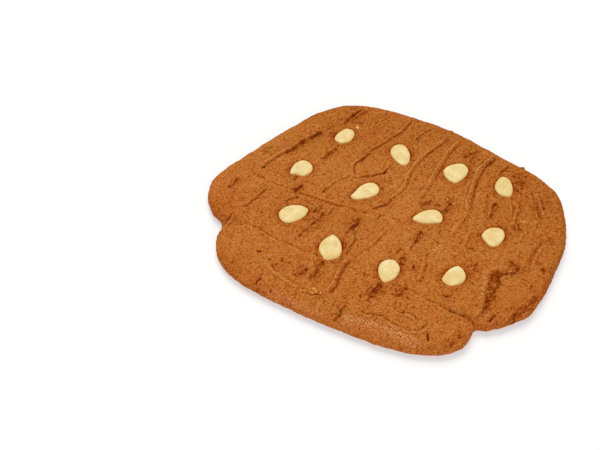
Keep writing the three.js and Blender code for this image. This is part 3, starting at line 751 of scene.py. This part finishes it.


# The almond seats: the split nuts were pressed into the raw dough, which closed round them and shrank back
# a little in the oven. Painted shade darkens a thin line at each nut's edge and a wider ring round it, most
# on both sides of the drag. Each nut's edge is traced in the photograph's pixels, at the height of its
# widest line. A band round it has its strength, distance from the edge and half width.
NUT_EDGES = [
    [(335.1, 140.1), (334.9, 136.7), (339.7, 131.5), (346.5, 128.4), (352.6, 129.9), (354.8, 133.6),
     (352.6, 138.6), (348.1, 142), (340.5, 143.1)],
    [(391.6, 147.2), (397.6, 143.5), (403.6, 144.1), (408.8, 150.2), (410.4, 156.1), (408.4, 162.9),
     (402.9, 164.7), (396.1, 160.6), (390.6, 153.1)],
    [(445.9, 167), (453.5, 163.9), (463.2, 163.6), (468.4, 168.8), (466.9, 174.5), (460.9, 180.5),
     (454.9, 182.7), (448.2, 179.7), (443, 171.9)],
    [(498.4, 178.6), (503.2, 175.9), (508.5, 178), (512.3, 184.1), (513.1, 190.2), (510.4, 196),
     (502.9, 195.3), (497.2, 191.6), (494.8, 185.6)],
    [(289.8, 173), (290.2, 170.4), (291.4, 167.6), (295.3, 162.9), (302.9, 159.9), (309.8, 162.1),
     (313, 167.4), (311.3, 172), (302.9, 175.7), (296, 174)],
    [(350.5, 196.8), (355.7, 190.8), (361.7, 185.4), (370, 182.5), (376.7, 184.4), (379.6, 189.2),
     (376.7, 194.9), (365.5, 198.6), (355, 199.4)],
    [(412.2, 218.6), (419.1, 213), (426.8, 210.1), (436, 209.8), (440.9, 213), (442.9, 217.6),
     (440.9, 222.6), (430.6, 223.6), (419.9, 223)],
    [(481.6, 234.9), (486.5, 229.2), (494.1, 227.1), (502.6, 229.2), (505, 234.5), (502.6, 241),
     (497.2, 245.6), (491.1, 246), (485, 241)],
    [(278.6, 212.5), (284.5, 206.8), (293.7, 204.5), (302.9, 205.6), (306.9, 207.5), (308.6, 209.2),
     (307.7, 211.7), (305.2, 215.6), (296.8, 220.5), (286.8, 222.5), (280.7, 219.4)],
    [(331, 234.7), (332.6, 233.7), (334.4, 234.5), (338.8, 238.2), (341.9, 245.8), (341.1, 253.5),
     (337.3, 257.7), (325.1, 259.2), (321.6, 255), (318.6, 248.9), (322, 240.5)],
    [(388, 259.1), (395, 260.3), (399.6, 266.1), (400, 269.9), (394.8, 278.2), (384.2, 282.1),
     (379.9, 277.7), (378, 270.7), (380.6, 262.6)],
    [(459, 265.3), (464.2, 270.1), (466.1, 275.7), (464.2, 281.2), (455.4, 285.1), (449.1, 285),
     (441.9, 279.6), (443.5, 275.3), (449.8, 268.5)],
]
NUT_RISE = 0.3
NUT_STEPS = 10
NUT_REACH = 20
ACROSS_DRAG = (0.875, 0.485)
SEAT_CLEAR = (-0.5, 1.5)
SEAT_DEPTH = 2.0
SEAT_WALL = (-0.1, 0.9)
MOAT = (0.12, 0.1, 0.4)
BULGE = (0.45, 1.7, 1.3)
GAP_SHADE = (1, 0.3, 0.5)
GAP_SHADE_SIDES = (0.58, 0.12)
GAP_SHADE_LIMITS = (0.5, 1.3)
NUT_SHADE = (0.12, 1, 2.2)
NUT_SHADE_SIDES = (0.8, 0.4)
NUT_SHADE_LIMITS = (0, 1.5)

nut_rims = []
nut_shade = np.zeros(len(spots))
for pixels in NUT_EDGES:
    rim = smooth_line(plan(pixels, THICKNESS + CROWN + NUT_RISE), NUT_STEPS, closed=True)[::-1]
    nut_rims.append(rim)
    middle = rim[:-1].mean(0)
    found = np.flatnonzero(away_from(middle) < NUT_REACH)
    out = -to_route(spots[found], rim)[0]
    apart = spots[found] - middle
    beside = (apart @ ACROSS_DRAG) ** 2 / (apart**2).sum(1)
    relief[found] *= ease(out, *SEAT_CLEAR)
    relief[found] += lumps[found] * bell(out, *BULGE) - bell(out, *MOAT)
    relief[found] -= SEAT_DEPTH * ease(-out, *SEAT_WALL)
    # Painted shade: a thin dark line at the nut's edge and a darker, redder ring round it.
    gap_shade = np.polyval(GAP_SHADE_SIDES, beside) * np.clip(crumble[found], *GAP_SHADE_LIMITS)
    raise_to(hollow_shade, found, gap_shade * bell(out, *GAP_SHADE))
    shade = np.polyval(NUT_SHADE_SIDES, beside) * np.clip(crumble[found], *NUT_SHADE_LIMITS)
    nut_shade[found] += shade * bell(out, *NUT_SHADE)


# The grain of the baked dough: fine crumb all over, open crags where the skin is torn, streaks along the
# drag and pores where gas came out. The rim has less of it, but is ragged, with a few nubs. A nub is traced
# as its column, row, reach and half width, and pores have their cell, width, depth and seed.
GRAIN = ((2.8, 0.08, 20), (1.6, 0.1, 21))
STREAKS = ((1.5, 0.13, 33), (4.2, 0.15, 34))
STREAK_LENGTH = 11
STREAK_LIMITS = (0, 1.6)
CRAGS = ((2.1, 0.55, 31), (1.2, 0.275, 32))
PORES = ((3.4, 0.5, 0.4, 40), (2.1, 0.4, 0.25, 41))
PORE_LENGTH = 1.5
PORE_LEAST = 0.6
PORE_DARK = 0.6
RIM_GRAIN = 0.35
NUBS = [(521, 171.5, 1.9, 1.3), (451, 133.5, 0.9, 1.5), (470, 143, 0.6, 1.5), (351, 105, 0.6, 1.8)]
RAGGED = ((9, 0.4, 50), (3.2, 0.3, 51), (1.4, 0.16, 52))
RAGGED_REACH = 5
NEXT_AXIS = 5


def pores(x, y, cell, width, seed):
    """Depth from 0 to 1 of small holes, one in each cell of a square lattice, of random place and size."""
    at_x, at_y, size, depth = np.random.default_rng(seed).random((4, LATTICE, LATTICE))
    column, row = np.floor(x / cell).astype(int), np.floor(y / cell).astype(int)
    deepest = np.zeros(len(x))
    for i in (-1, 0, 1):
        for j in (-1, 0, 1):
            place = (column + i) % LATTICE, (row + j) % LATTICE
            away = np.hypot(x - (column + i + at_x[place]) * cell, y - (row + j + at_y[place]) * cell)
            hole = depth[place] ** 2 * bell(away / (width * (PORE_LEAST + size[place])))
            deepest = np.maximum(deepest, hole)
    return deepest


streaks = ripples(across, along / STREAK_LENGTH, STREAKS)
grain = ripples(x, y, GRAIN) + streaks * np.clip(crumble, *STREAK_LIMITS) + torn * ripples(x, y, CRAGS)
for cell, width, depth, seed in PORES:
    hole = pores(across, along / PORE_LENGTH, cell, width, seed)
    grain -= depth * hole
    # Painted shade darkens each pore.
    raise_to(hollow_shade, EVERYWHERE, PORE_DARK * hole)

height = WIDEST_AT + (top + relief - WIDEST_AT) * rounding
height += grain * (RIM_GRAIN + (1 - RIM_GRAIN) * rounding)
for *pixel, reach, half in NUBS:
    middle = plan([pixel], WIDEST_AT)[0]
    spots += reach * bell(away_from(middle) / half)[:, None] * middle / np.hypot(*middle)
ragged = 1 - ease(inside, 0, RAGGED_REACH)
for axis in (0, 1):
    spots[:, axis] += ragged * ripples(x, y, RAGGED, NEXT_AXIS * axis)


# The slab's mesh: the marked top, the lower edge carried round the outline in rings, and the flat base that
# the belt left. Each ring is an inset and a height.
LOWER_EDGE = ((0.1, 2.5), (0.5, 1.6), (1.1, 0.8), (1.7, 0.25), (2.4, 0.0))
TANGENT_REACH = 4


def add_piece(name, points, faces, material):
    """A smooth mesh at the origin, from points in millimetres and a list of faces."""
    mesh = bpy.data.meshes.new(name)
    mesh.from_pydata((points * MM).tolist(), [], faces)
    mesh.polygons.foreach_set("use_smooth", np.ones(len(faces), bool))
    mesh.materials.append(material)
    mesh.update()
    piece = bpy.data.objects.new(name, mesh)
    bpy.context.scene.collection.objects.link(piece)
    return piece


def add_values(piece, **values):
    """Stores one number for each point of a piece under each name, for its material to read."""
    for name, numbers in values.items():
        layer = piece.data.attributes.new(name, "FLOAT", "POINT")
        layer.data.foreach_set("value", np.asarray(numbers, np.float32))


number = np.arange(len(spots)).reshape(CELLS_ACROSS + 1, CELLS_ALONG + 1)
rim = np.concatenate([number[:-1, 0], number[-1, :-1], number[:0:-1, -1], number[0, :0:-1]])
height[rim] = WIDEST_AT
top_points = np.column_stack([spots, height])
rim_points = top_points[rim, :2]
tangent = np.roll(rim_points, -TANGENT_REACH, 0) - np.roll(rim_points, TANGENT_REACH, 0)
inward = np.column_stack([-tangent[:, 1], tangent[:, 0]]) / np.linalg.norm(tangent, axis=1)[:, None]
slab_points = top_points
corners = number[:-1, :-1], number[1:, :-1], number[1:, 1:], number[:-1, 1:]
slab_faces = np.stack(corners, axis=-1).reshape(-1, 4).tolist()
for inset, low in LOWER_EDGE:
    ring = len(slab_points) + np.arange(len(rim))
    ring_points = np.column_stack([rim_points + inset * inward, np.full(len(rim), low)])
    slab_points = np.concatenate([slab_points, ring_points])
    slab_faces += np.column_stack([rim, ring, np.roll(ring, -1), np.roll(rim, -1)]).tolist()
    rim = ring
slab_faces.append(rim[::-1].tolist())


# The crust: golden brown where the skin is whole, redder and darker where it is torn. Painted shade darkens
# the recesses and the shaded side of the marks, and a painted highlight lightens the lit crests; the tones
# run from the deepest cracks to the palest crests. Sugar specks and a painted sheen show pale in places.
BAKE = ((0.0, (124, 47, 0)), (0.2, (143, 65, 7)), (0.4, (164, 90, 26)), (0.58, (178, 106, 41)),
        (0.78, (192, 121, 56)), (1.0, (209, 143, 83)))
CRACK_SHADE = (88, 16, 0)
SUGAR_SHEEN_PALE = (214, 156, 106)
OLIVE_CAST = (0.98, 1.08, 1.14, 1)
RUST_CAST = (1.03, 0.89, 0.9, 1)
YELLOW_CAST = (1, 1.02, 0.8, 1)
PINK_CAST = (1, 0.98, 1.2, 1)
# A noise has its waves to the metre, and its detail and roughness where they matter.
NOISES = {"crumb": (760, 3, 0.7), "dust": (1300, 1), "jitter": (1000, 2), "tint": (420, 2)}
DRAWN_NOISES = {"strands": (900, 2, 0.6), "clods": (800, 2, 0.6)}
DRAWN_OUT = (1, 0.35, 1)
GRAIN_CELLS = 720
PIN_CELLS = 430
# A span has two ends, and what a value becomes at each.
# The crest span is a painted highlight on the lit side of the lips.
TONE_SPANS = {"crumb": (0.25, 0.75, -0.11, 0.11), "grains": (0.15, 0.85, 0.14, -0.2),
              "dust": (0.25, 0.5, -0.44, 0.07), "highlight_crest_near": (0.3, 1.1, 0.15, 0)}
# The recess and mark spans are painted shade: the recesses, partly the darker crumb of pits, and dark lines
# along the grooves and the feet of the lips.
HOLLOW_SHADE_SPANS = {"crumb": (0.25, 0.75, 0.16, -0.16), "strands": (0.3, 0.7, 0.14, -0.14)}
MARK_SPANS = {"hollow_shade": (0.14, 0.66, 0, -0.46), "shade_line_near": (0.3, 0.95, -0.36, 0),
              "foot_shade_near": (0.2, 0.75, -0.28, 0)}
LINE_JITTER = (0.3, 0.7, -0.35, 0.35)
CLOD_TONE = (0.4, 0.6, -0.28, 0.12)
PIN_TONE = (0.1, 0.26, -0.45, 0)
CRACK_SHADE_SHARE = (0.35, 0.8, 0.9, 0)
RUST_SHARE = (-1, 1, 0, 1)
TINT_SHARE = (0.3, 0.7, 0, 1)
SUGAR_SHEEN_SHARE = (0.48, 0.66, 0, 1)
CRUST_ROUGHNESS = (0.3, 0.7, 0.85, 0.6)
CRUST_SHINE = 0.03
# A bump has its strength and its height in metres.
CRUMB_BUMP = (0.5, 0.0006)
GRAIN_BUMP = (0.5, -0.0004)
CLOD_BUMP = (0.9, 0.002)


def paint(red, green, blue):
    """A colour given as it looks on screen, as the linear light that a shader takes."""
    screen = np.array([red, green, blue]) / 255
    light = np.where(screen <= 0.04045, screen / 12.92, ((screen + 0.055) / 1.055) ** 2.4)
    return (*light.tolist(), 1.0)


def new_material(name):
    """A new material, the tree of nodes to build it in and its surface shader."""
    material = bpy.data.materials.new(name)
    material.use_nodes = True
    return material, material.node_tree, material.node_tree.nodes["Principled BSDF"]


def set_inputs(tree, node, inputs):
    """Sets the inputs of a node by their names, or links them where given an output."""
    for name, value in inputs.items():
        if isinstance(value, bpy.types.NodeSocket):
            tree.links.new(value, node.inputs[name])
        else:
            node.inputs[name].default_value = value


def add_node(tree, kind, inputs=None, **settings):
    """A node of that kind with its settings made and its inputs set."""
    node = tree.nodes.new(kind)
    for name, value in settings.items():
        setattr(node, name, value)
    set_inputs(tree, node, inputs or {})
    return node


def mix(tree, share, first, second, blend="MIX"):
    """The blend of two colours by a share, each a colour or an output."""
    inputs = {0: share, 6: first, 7: second}
    return add_node(tree, "ShaderNodeMix", inputs, data_type="RGBA", blend_type=blend).outputs[2]


def span(tree, value, low, high, to_low, to_high):
    """A value stretched from one range to another and held at the ends."""
    inputs = {"Value": value, "From Min": low, "From Max": high, "To Min": to_low, "To Max": to_high}
    return add_node(tree, "ShaderNodeMapRange", inputs).outputs["Result"]


def noise(tree, where, scale, detail=3.0, roughness=0.55):
    """Soft noise of that many waves to the metre."""
    inputs = {"Vector": where, "Scale": scale, "Detail": detail, "Roughness": roughness}
    return add_node(tree, "ShaderNodeTexNoise", inputs).outputs["Fac"]


def value_of(tree, name):
    """A number stored on the piece's points."""
    return add_node(tree, "ShaderNodeAttribute", attribute_name=name).outputs["Fac"]


def combine(tree, operation, first, *others):
    """The sum, product or lowest of outputs, taken one after another."""
    for other in others:
        first = add_node(tree, "ShaderNodeMath", {0: first, 1: other}, operation=operation).outputs[0]
    return first


def spans(tree, values, table):
    """The values that a table names, each stretched by the span that it has there."""
    return [span(tree, values[name], *numbers) for name, numbers in table.items()]


def bump(tree, height, strength, distance, under=None):
    """The normal of a skin raised by a height, on top of another bump where there is one. A distance below
    zero lets it in instead."""
    inputs = {"Height": height, "Strength": strength, "Distance": abs(distance)}
    if under is not None:
        inputs["Normal"] = under
    return add_node(tree, "ShaderNodeBump", inputs, invert=distance < 0).outputs["Normal"]


crust, tree, skin = new_material("crust")
where = add_node(tree, "ShaderNodeTexCoord").outputs["Object"]
drawn_out = add_node(tree, "ShaderNodeMapping", {"Vector": where, "Scale": DRAWN_OUT}).outputs["Vector"]
values = {name: noise(tree, where, *numbers) for name, numbers in NOISES.items()}
values |= {name: noise(tree, drawn_out, *numbers) for name, numbers in DRAWN_NOISES.items()}
grains = add_node(tree, "ShaderNodeTexVoronoi", {"Vector": where, "Scale": GRAIN_CELLS})
pins = add_node(tree, "ShaderNodeTexVoronoi", {"Vector": where, "Scale": PIN_CELLS})
values["grains"] = grains.outputs["Distance"]
jitter = span(tree, values["jitter"], *LINE_JITTER)
for name in ("shade_line_near", "foot_shade_near", "highlight_crest_near", "crack_shade_near"):
    values[name] = combine(tree, "ADD", value_of(tree, name), jitter)
values["hollow_shade"] = combine(tree, "ADD", value_of(tree, "hollow_shade"), *spans(tree, values, HOLLOW_SHADE_SPANS))

# Painted shade: the darkest of the recesses and the lines along the marks.
marked = combine(tree, "MINIMUM", *spans(tree, values, MARK_SPANS))
raw = value_of(tree, "torn")
cloddy = combine(tree, "MULTIPLY", raw, span(tree, values["clods"], *CLOD_TONE))
pricked = combine(tree, "MULTIPLY", span(tree, pins.outputs["Distance"], *PIN_TONE), pins.outputs["Color"])
fine_tones = spans(tree, values, TONE_SPANS)
tone = combine(tree, "ADD", value_of(tree, "tone"), *fine_tones, marked, cloddy, pricked)
ramp = add_node(tree, "ShaderNodeValToRGB", {"Fac": tone})
shades = ramp.color_ramp.elements
for stop in BAKE[1:-1]:
    shades.new(stop[0])
for element, (place, shade) in zip(shades, BAKE):
    element.position = place
    element.color = paint(*shade)

cast = mix(tree, span(tree, value_of(tree, "redness_and_shade"), *RUST_SHARE), OLIVE_CAST, RUST_CAST)
tint = mix(tree, span(tree, values["tint"], *TINT_SHARE), YELLOW_CAST, PINK_CAST)
colour = mix(tree, 1.0, ramp.outputs["Color"], cast, "MULTIPLY")
colour = mix(tree, 1.0, colour, tint, "MULTIPLY")
# Painted shade in the cracks, near black.
colour = mix(tree, span(tree, values["crack_shade_near"], *CRACK_SHADE_SHARE), colour, paint(*CRACK_SHADE))
# Sugar specks and a painted sheen: pale flecks along the front roll.
sugar_sheen_specks = combine(tree, "MULTIPLY", value_of(tree, "sugar_and_sheen"), span(tree, values["dust"], *SUGAR_SHEEN_SHARE))
colour = mix(tree, sugar_sheen_specks, colour, paint(*SUGAR_SHEEN_PALE))
rough = span(tree, values["crumb"], *CRUST_ROUGHNESS)
crumbly = bump(tree, values["crumb"], *CRUMB_BUMP)
grainy = bump(tree, values["grains"], *GRAIN_BUMP, crumbly)
rugged = bump(tree, combine(tree, "MULTIPLY", raw, values["clods"]), *CLOD_BUMP, grainy)
set_inputs(tree, skin, {"Base Color": colour, "Roughness": rough, "Normal": rugged,
                        "Specular IOR Level": CRUST_SHINE})


# The tone over the slab: darker towards the back and the right and along the rim at the back and back right,
# and redder towards the front and where the dough was torn. Painted shade darkens the dough round the nuts
# and the lobe by the left notch, and painted redness for shade lies round the nuts, by that notch, on the
# lower edge and on the rim at the front and right. Painted light lightens the lower edge and the rim at the
# front right. Sugar specks and a painted sheen lie in two bands along the front.
WHOLE = 0.62
MOTTLE = ((40, 0.04, 71), (12, 0.03, 72), (5, 0.03, 73), (2.4, 0.04, 74))
# A slope has a strength, a way over the plan and the range along it where it comes in, and one that keeps to
# the rim has the range of distances from the edge where it ends. A blot has a strength, place and radius.
TONE_SLOPES = ((-0.1, (0, 1), (0, 95)), (-0.06, (1, 0), (40, 110)), (-0.1, (0.3, 1), (-10, 50), (0, 6)),
               (0.07, (0.6, -1), (60, 110), (2, 8)))
NOTCH_SHADE_BLOT = (-0.13, (-92, -55), 9)
STREAK_TONE = 0.3
RAISED_HIGHLIGHT_TONE = 0.16
TORN_TONE = -0.05
RUST_LEVEL = -0.3
RUST_MOTTLE = ((22, 0.4, 91), (9, 0.6, 92), (4, 0.5, 93))
RUST_SLOPES = ((0.5, (0, -1), (-60, 60)), (1, (1, -1.6), (40, 130), (1, 8)))
FRONT_SHADE_RED = (0.5, (0, -1), (70, 88), (2, 9))
FRONT_SHADE_RED_END = (-40, 20)
NOTCH_SHADE_RED_BLOT = (1.2, (-93, -53), 12)
TORN_RUST = 0.5
NUT_SHADE_RED = 3.33
SUGAR_SHEEN_BANDS = [
    (1.0, 2.6, [(338, 317), (366, 323), (378, 327), (393, 333), (413, 342), (421, 345)]),
    (0.5, 2.6, [(262, 288), (302.3, 304.4), (330, 314)]),
]
SUGAR_SHEEN_FADE = 0.1
UNDER_PAINTED_LIGHT_TONE = WHOLE + 0.05
UNDER_SHADE_RED = 1


def slope(strength, way, rise, rim=None):
    """A strength that comes in along a way over the plan, and if a rim is given ends inside it."""
    part = strength * ease(way[0] * x + way[1] * y, *rise)
    return part if rim is None else part * (1 - ease(inside, *rim))


def blot(strength, place, radius):
    """A strength that falls off round a place as a bell."""
    return strength * bell(away_from(place) / radius)


torn, raised, hollow_shade = (np.clip(layer, 0, 1) for layer in (torn, raised, hollow_shade))
# The tone has painted shade round the nuts and at the lobe by the left notch, painted highlights on the lips
# and painted light on the rim at the front right.
tone = WHOLE + ripples(x, y, MOTTLE) + sum(slope(*row) for row in TONE_SLOPES) + blot(*NOTCH_SHADE_BLOT) - nut_shade
tone += STREAK_TONE * streaks + RAISED_HIGHLIGHT_TONE * raised + TORN_TONE * torn
# The redness has painted redness for shade on the rim at the front and right, by the left notch and round
# the nuts.
redness_and_shade = RUST_LEVEL + ripples(x, y, RUST_MOTTLE) + sum(slope(*row) for row in RUST_SLOPES) + blot(*NOTCH_SHADE_RED_BLOT)
redness_and_shade += slope(*FRONT_SHADE_RED) * (1 - ease(x, *FRONT_SHADE_RED_END)) + TORN_RUST * torn + NUT_SHADE_RED * nut_shade
# Sugar specks and a painted sheen, in bands along the shoulder of the front roll.
sugar_and_sheen = np.zeros(len(spots))
for amount, half, pixels in SUGAR_SHEEN_BANDS:
    found, past, share = near_route(top_route(pixels))
    raise_to(sugar_and_sheen, found, amount * bell(past / half) * end_fade(share, 0, SUGAR_SHEEN_FADE))

slab = add_piece("baked_slab", slab_points, slab_faces, crust)
below = np.ones(len(slab_points) - len(spots))
# The lower edge and the base have painted light and painted redness for their shade.
for name, layer, under in (
    ("tone", tone, UNDER_PAINTED_LIGHT_TONE), ("redness_and_shade", redness_and_shade, UNDER_SHADE_RED), ("sugar_and_sheen", sugar_and_sheen, 0), ("torn", torn, 0),
    ("hollow_shade", hollow_shade, 0), ("shade_line_near", shade_line_near, FAR_OFF), ("foot_shade_near", foot_shade_near, FAR_OFF),
    ("highlight_crest_near", highlight_crest_near, FAR_OFF), ("crack_shade_near", crack_shade_near, FAR_OFF),
):
    add_values(slab, **{name: np.append(layer, under * below)})
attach(slab, "root")
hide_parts("biscuit")


# The split almonds: blanched halves, pressed flat side down into their seats, domed and faintly ribbed
# along their length. The oven left them cream, with a warmer edge.
NUT_DOME = 1.9
NUT_SQUARE = 3.6
NUT_UNEVEN = ((7, 0.2, 60),)
NUT_AROUND = 84
NUT_UP = 16
NUT_SUNK = 0.7
NUT_FOOT = 0.9
NUT_FOOT_SHARE = 0.82
RIB_WIDTH = 1.7
RIB_LENGTH = 14
RIB_SHIFT = 7
RIBS = (1.6, 4, 0.65)
FLECKS = (3.4, 2)
BLOTCH_WAVES = 160
CREAM = (235, 215, 163)
WARM = (226, 180, 92)
STRAW = (219, 188, 118)
MILK = (242, 226, 184)
BLOTCH_SHARE = (0.35, 0.65, 0, 1)
RIB_SHARE = (0.48, 0.66, 0, 0.8)
DARK_FLECKS = (0.45, 0.65, 0, 0.5)
PALE_FLECKS = (0.45, 0.3, 0, 0.6)
EDGE_SHARE = (0.84, 1.0, 0, 0.8)
NUT_ROUGHNESS = 0.6
NUT_SHINE = 0.08
RIB_BUMP = (0.5, 0.0004)


def ring_quads(around, count):
    """The quads from each ring of that many points to the next, for that many steps."""
    ring = np.arange(around)
    turn = np.roll(ring, -1)
    rows = around * np.arange(count)[:, None]
    quads = [rows + ring, rows + around + ring, rows + around + turn, rows + turn]
    return np.stack(quads, axis=-1).reshape(-1, 4)


nut, tree, skin = new_material("almond")
rib_place = {"X": value_of(tree, "rib_across"), "Y": value_of(tree, "rib_along")}
rib = add_node(tree, "ShaderNodeCombineXYZ", rib_place).outputs["Vector"]
ribs = noise(tree, rib, *RIBS)
fleck = noise(tree, rib, *FLECKS)
blotch = noise(tree, add_node(tree, "ShaderNodeTexCoord").outputs["Object"], BLOTCH_WAVES)
colour = paint(*CREAM)
for value, share, shade in (
    (blotch, BLOTCH_SHARE, STRAW), (ribs, RIB_SHARE, STRAW), (fleck, DARK_FLECKS, STRAW),
    (fleck, PALE_FLECKS, MILK), (value_of(tree, "edge"), EDGE_SHARE, WARM),
):
    colour = mix(tree, span(tree, value, *share), colour, paint(*shade))
ribbed = bump(tree, ribs, *RIB_BUMP)
set_inputs(tree, skin, {"Base Color": colour, "Roughness": NUT_ROUGHNESS, "Normal": ribbed,
                        "Specular IOR Level": NUT_SHINE})

out = np.sin(np.linspace(0, np.pi / 2, NUT_UP + 1))[1:]
rise = (1 - out**NUT_SQUARE) ** (1 / NUT_SQUARE)
ring = np.arange(NUT_AROUND)
turn = np.roll(ring, -1)
last = NUT_UP * NUT_AROUND
peak = last + NUT_AROUND
peak_fan = np.column_stack([np.full(NUT_AROUND, peak), ring, turn])
foot_fan = np.column_stack([np.full(NUT_AROUND, peak + 1), last + turn, last + ring])
nut_faces = [*ring_quads(NUT_AROUND, NUT_UP).tolist(), *peak_fan.tolist(), *foot_fan.tolist()]
for n, rim in enumerate(nut_rims, 1):
    edge = along_line(rim, np.linspace(0, 1, NUT_AROUND, endpoint=False))
    middle = edge.mean(0)
    spread = edge - middle
    length_way = np.linalg.eigh(spread.T @ spread)[1][:, 1]
    base = swell_top(*middle[:, None])[0] - NUT_SUNK

    plan_rings = middle + out[:, None, None] * spread
    flat = np.concatenate([plan_rings.reshape(-1, 2), [middle]])
    full = 1 + ripples(*flat.T, NUT_UNEVEN, n)
    dome = np.column_stack([flat, base + NUT_DOME * np.append(np.repeat(rise, NUT_AROUND), 1) * full])
    foot = np.column_stack([middle + NUT_FOOT_SHARE * spread, np.full(NUT_AROUND, base - NUT_FOOT)])
    points = np.concatenate([dome[:-1], foot, dome[-1:], [(*middle, base - NUT_FOOT)]])

    half = add_piece(f"split_almond_{n:02d}", points, nut_faces, nut)
    lengthwise = (points[:, :2] - middle) @ length_way
    sidewise = (points[:, :2] - middle) @ np.array([-length_way[1], length_way[0]])
    add_values(half, rib_across=sidewise / RIB_WIDTH + RIB_SHIFT * n, rib_along=lengthwise / RIB_LENGTH,
               edge=np.concatenate([np.repeat(out, NUT_AROUND), np.ones(NUT_AROUND), [0, 1]]))
    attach(half, "root")
    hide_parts(f"almond_{n:02d}")


# The bits of almond: chips that broke off the nuts, and specks of pale dough, scattered on the raw slab and
# baked into its top. Each is traced as its column and row, with its radius in millimetres and its toasting.
BITS = np.array([
    (357.4, 128, 1.6, 0.1), (447.7, 199.7, 0.9, 0.9), (453.8, 203.6, 1.2, 0.9), (518.5, 220.3, 0.6, 1),
    (521, 221.4, 0.8, 1), (524, 221.6, 0.9, 0.9), (526.5, 222.6, 0.9, 0.9), (529.5, 223.3, 0.7, 1),
    (359.7, 293, 0.6, 0.5), (376, 258, 0.5, 0.5), (313.8, 290.5, 1.7, 0.8), (320.5, 293.5, 0.9, 0.7),
    (312, 293.5, 1.2, 1), (324, 300, 0.7, 0.8), (315.5, 292.5, 1.1, 0.9), (449.7, 340.4, 0.6, 1),
    (434.5, 250, 0.6, 0.5), (437, 248, 0.5, 0.5),
])
BIT_AROUND = 9
BIT_UP = 5
BIT_SUNK = 0.1
BIT_SEED = 81
BIT_STRETCH = (0.6, 1.2)
BIT_KNOBS = (0.85, 1.15)
CHIP_PALE = (254, 200, 106)
CHIP_DEEP = (214, 138, 52)
SPECK_WAVES = 900
SPECK_TOAST = (0.3, 0.7, -0.2, 0.2)
CHIP_ROUGHNESS = 0.7
CHIP_SHINE = 0.08

middles = plan(BITS[:, :2], THICKNESS + CROWN)
at = np.column_stack([middles, swell_top(*middles.T) - BIT_SUNK])
round_by = np.linspace(0, 2 * np.pi, BIT_AROUND, endpoint=False)
climb = np.linspace(0, np.pi / 2, BIT_UP)[:-1]
ball = np.stack([np.outer(np.cos(climb), np.cos(round_by)), np.outer(np.cos(climb), np.sin(round_by)),
                 np.outer(np.sin(climb), np.ones(BIT_AROUND))], axis=-1)
ball = np.concatenate([ball.reshape(-1, 3), [(0, 0, 1)]])
draw = np.random.default_rng(BIT_SEED)
sizes = BITS[:, 2:3] * draw.uniform(*BIT_STRETCH, (len(BITS), 3))
knobs = draw.uniform(*BIT_KNOBS, (len(BITS), len(ball), 1))
bit_points = (at[:, None] + sizes[:, None] * ball * knobs).reshape(-1, 3)
ring = np.arange(BIT_AROUND)
last = (BIT_UP - 2) * BIT_AROUND
cap = np.column_stack([last + ring, last + np.roll(ring, -1), np.full(BIT_AROUND, len(ball) - 1)])
bit_faces = []
for start in np.arange(len(BITS)) * len(ball):
    for part in (ring_quads(BIT_AROUND, BIT_UP - 2)[:, ::-1], cap, ring[None, ::-1]):
        bit_faces += (start + part).tolist()

chip, tree, skin = new_material("almond chip")
speck = noise(tree, add_node(tree, "ShaderNodeTexCoord").outputs["Object"], SPECK_WAVES)
toasted = combine(tree, "ADD", value_of(tree, "toast"), span(tree, speck, *SPECK_TOAST))
colour = mix(tree, toasted, paint(*CHIP_PALE), paint(*CHIP_DEEP))
set_inputs(tree, skin, {"Base Color": colour, "Roughness": CHIP_ROUGHNESS,
                        "Specular IOR Level": CHIP_SHINE})
bits = add_piece("almond_bits", bit_points, bit_faces, chip)
add_values(bits, toast=np.repeat(BITS[:, 3], len(ball)))
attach(bits, "root")


# The floor and the light: a white table that runs on out of sight and glows faintly, an even bright room, a
# large soft lamp at the back left and a weaker, softer one at the front right. Each lamp has the way that
# its light comes from, its spread in degrees and its strength.
FLOOR_SIZE = 20000
FLOOR_COLOUR = (193, 188, 183)
FLOOR_GLOW = (0.40, 0.425, 0.45, 1)
FLOOR_ROUGHNESS = 0.9
ROOM_LIGHT = 0.42
LAMPS = [("lamp", (-0.5, 0.6, 1.0), 45, 2.3), ("fill", (0.7, -0.8, 0.6), 60, 1.0)]

white, tree, skin = new_material("table")
set_inputs(tree, skin, {"Base Color": paint(*FLOOR_COLOUR), "Roughness": FLOOR_ROUGHNESS,
                        "Emission Color": FLOOR_GLOW, "Emission Strength": 1})
reach = FLOOR_SIZE / 2
corners = np.array([(-reach, -reach, 0), (reach, -reach, 0), (reach, reach, 0), (-reach, reach, 0)])
table = add_piece("table", corners, [(0, 1, 2, 3)], white)
table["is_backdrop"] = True

room = bpy.data.worlds.new("room")
room.use_nodes = True
background = room.node_tree.nodes["Background"]
set_inputs(room.node_tree, background, {"Color": (1, 1, 1, 1), "Strength": ROOM_LIGHT})
bpy.context.scene.world = room
for name, lamp_from, spread, strength in LAMPS:
    lamp = bpy.data.lights.new(name, "SUN")
    lamp.angle = np.radians(spread)
    lamp.energy = strength
    holder = bpy.data.objects.new(name, lamp)
    holder.rotation_euler = Vector(lamp_from).to_track_quat("Z", "Y").to_euler()
    bpy.context.scene.collection.objects.link(holder)
bpy.context.scene.view_settings.view_transform = "Standard"

sizes = {"cad": [list(corner) for corner in cad_box], "visual": [list(corner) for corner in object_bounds()]}
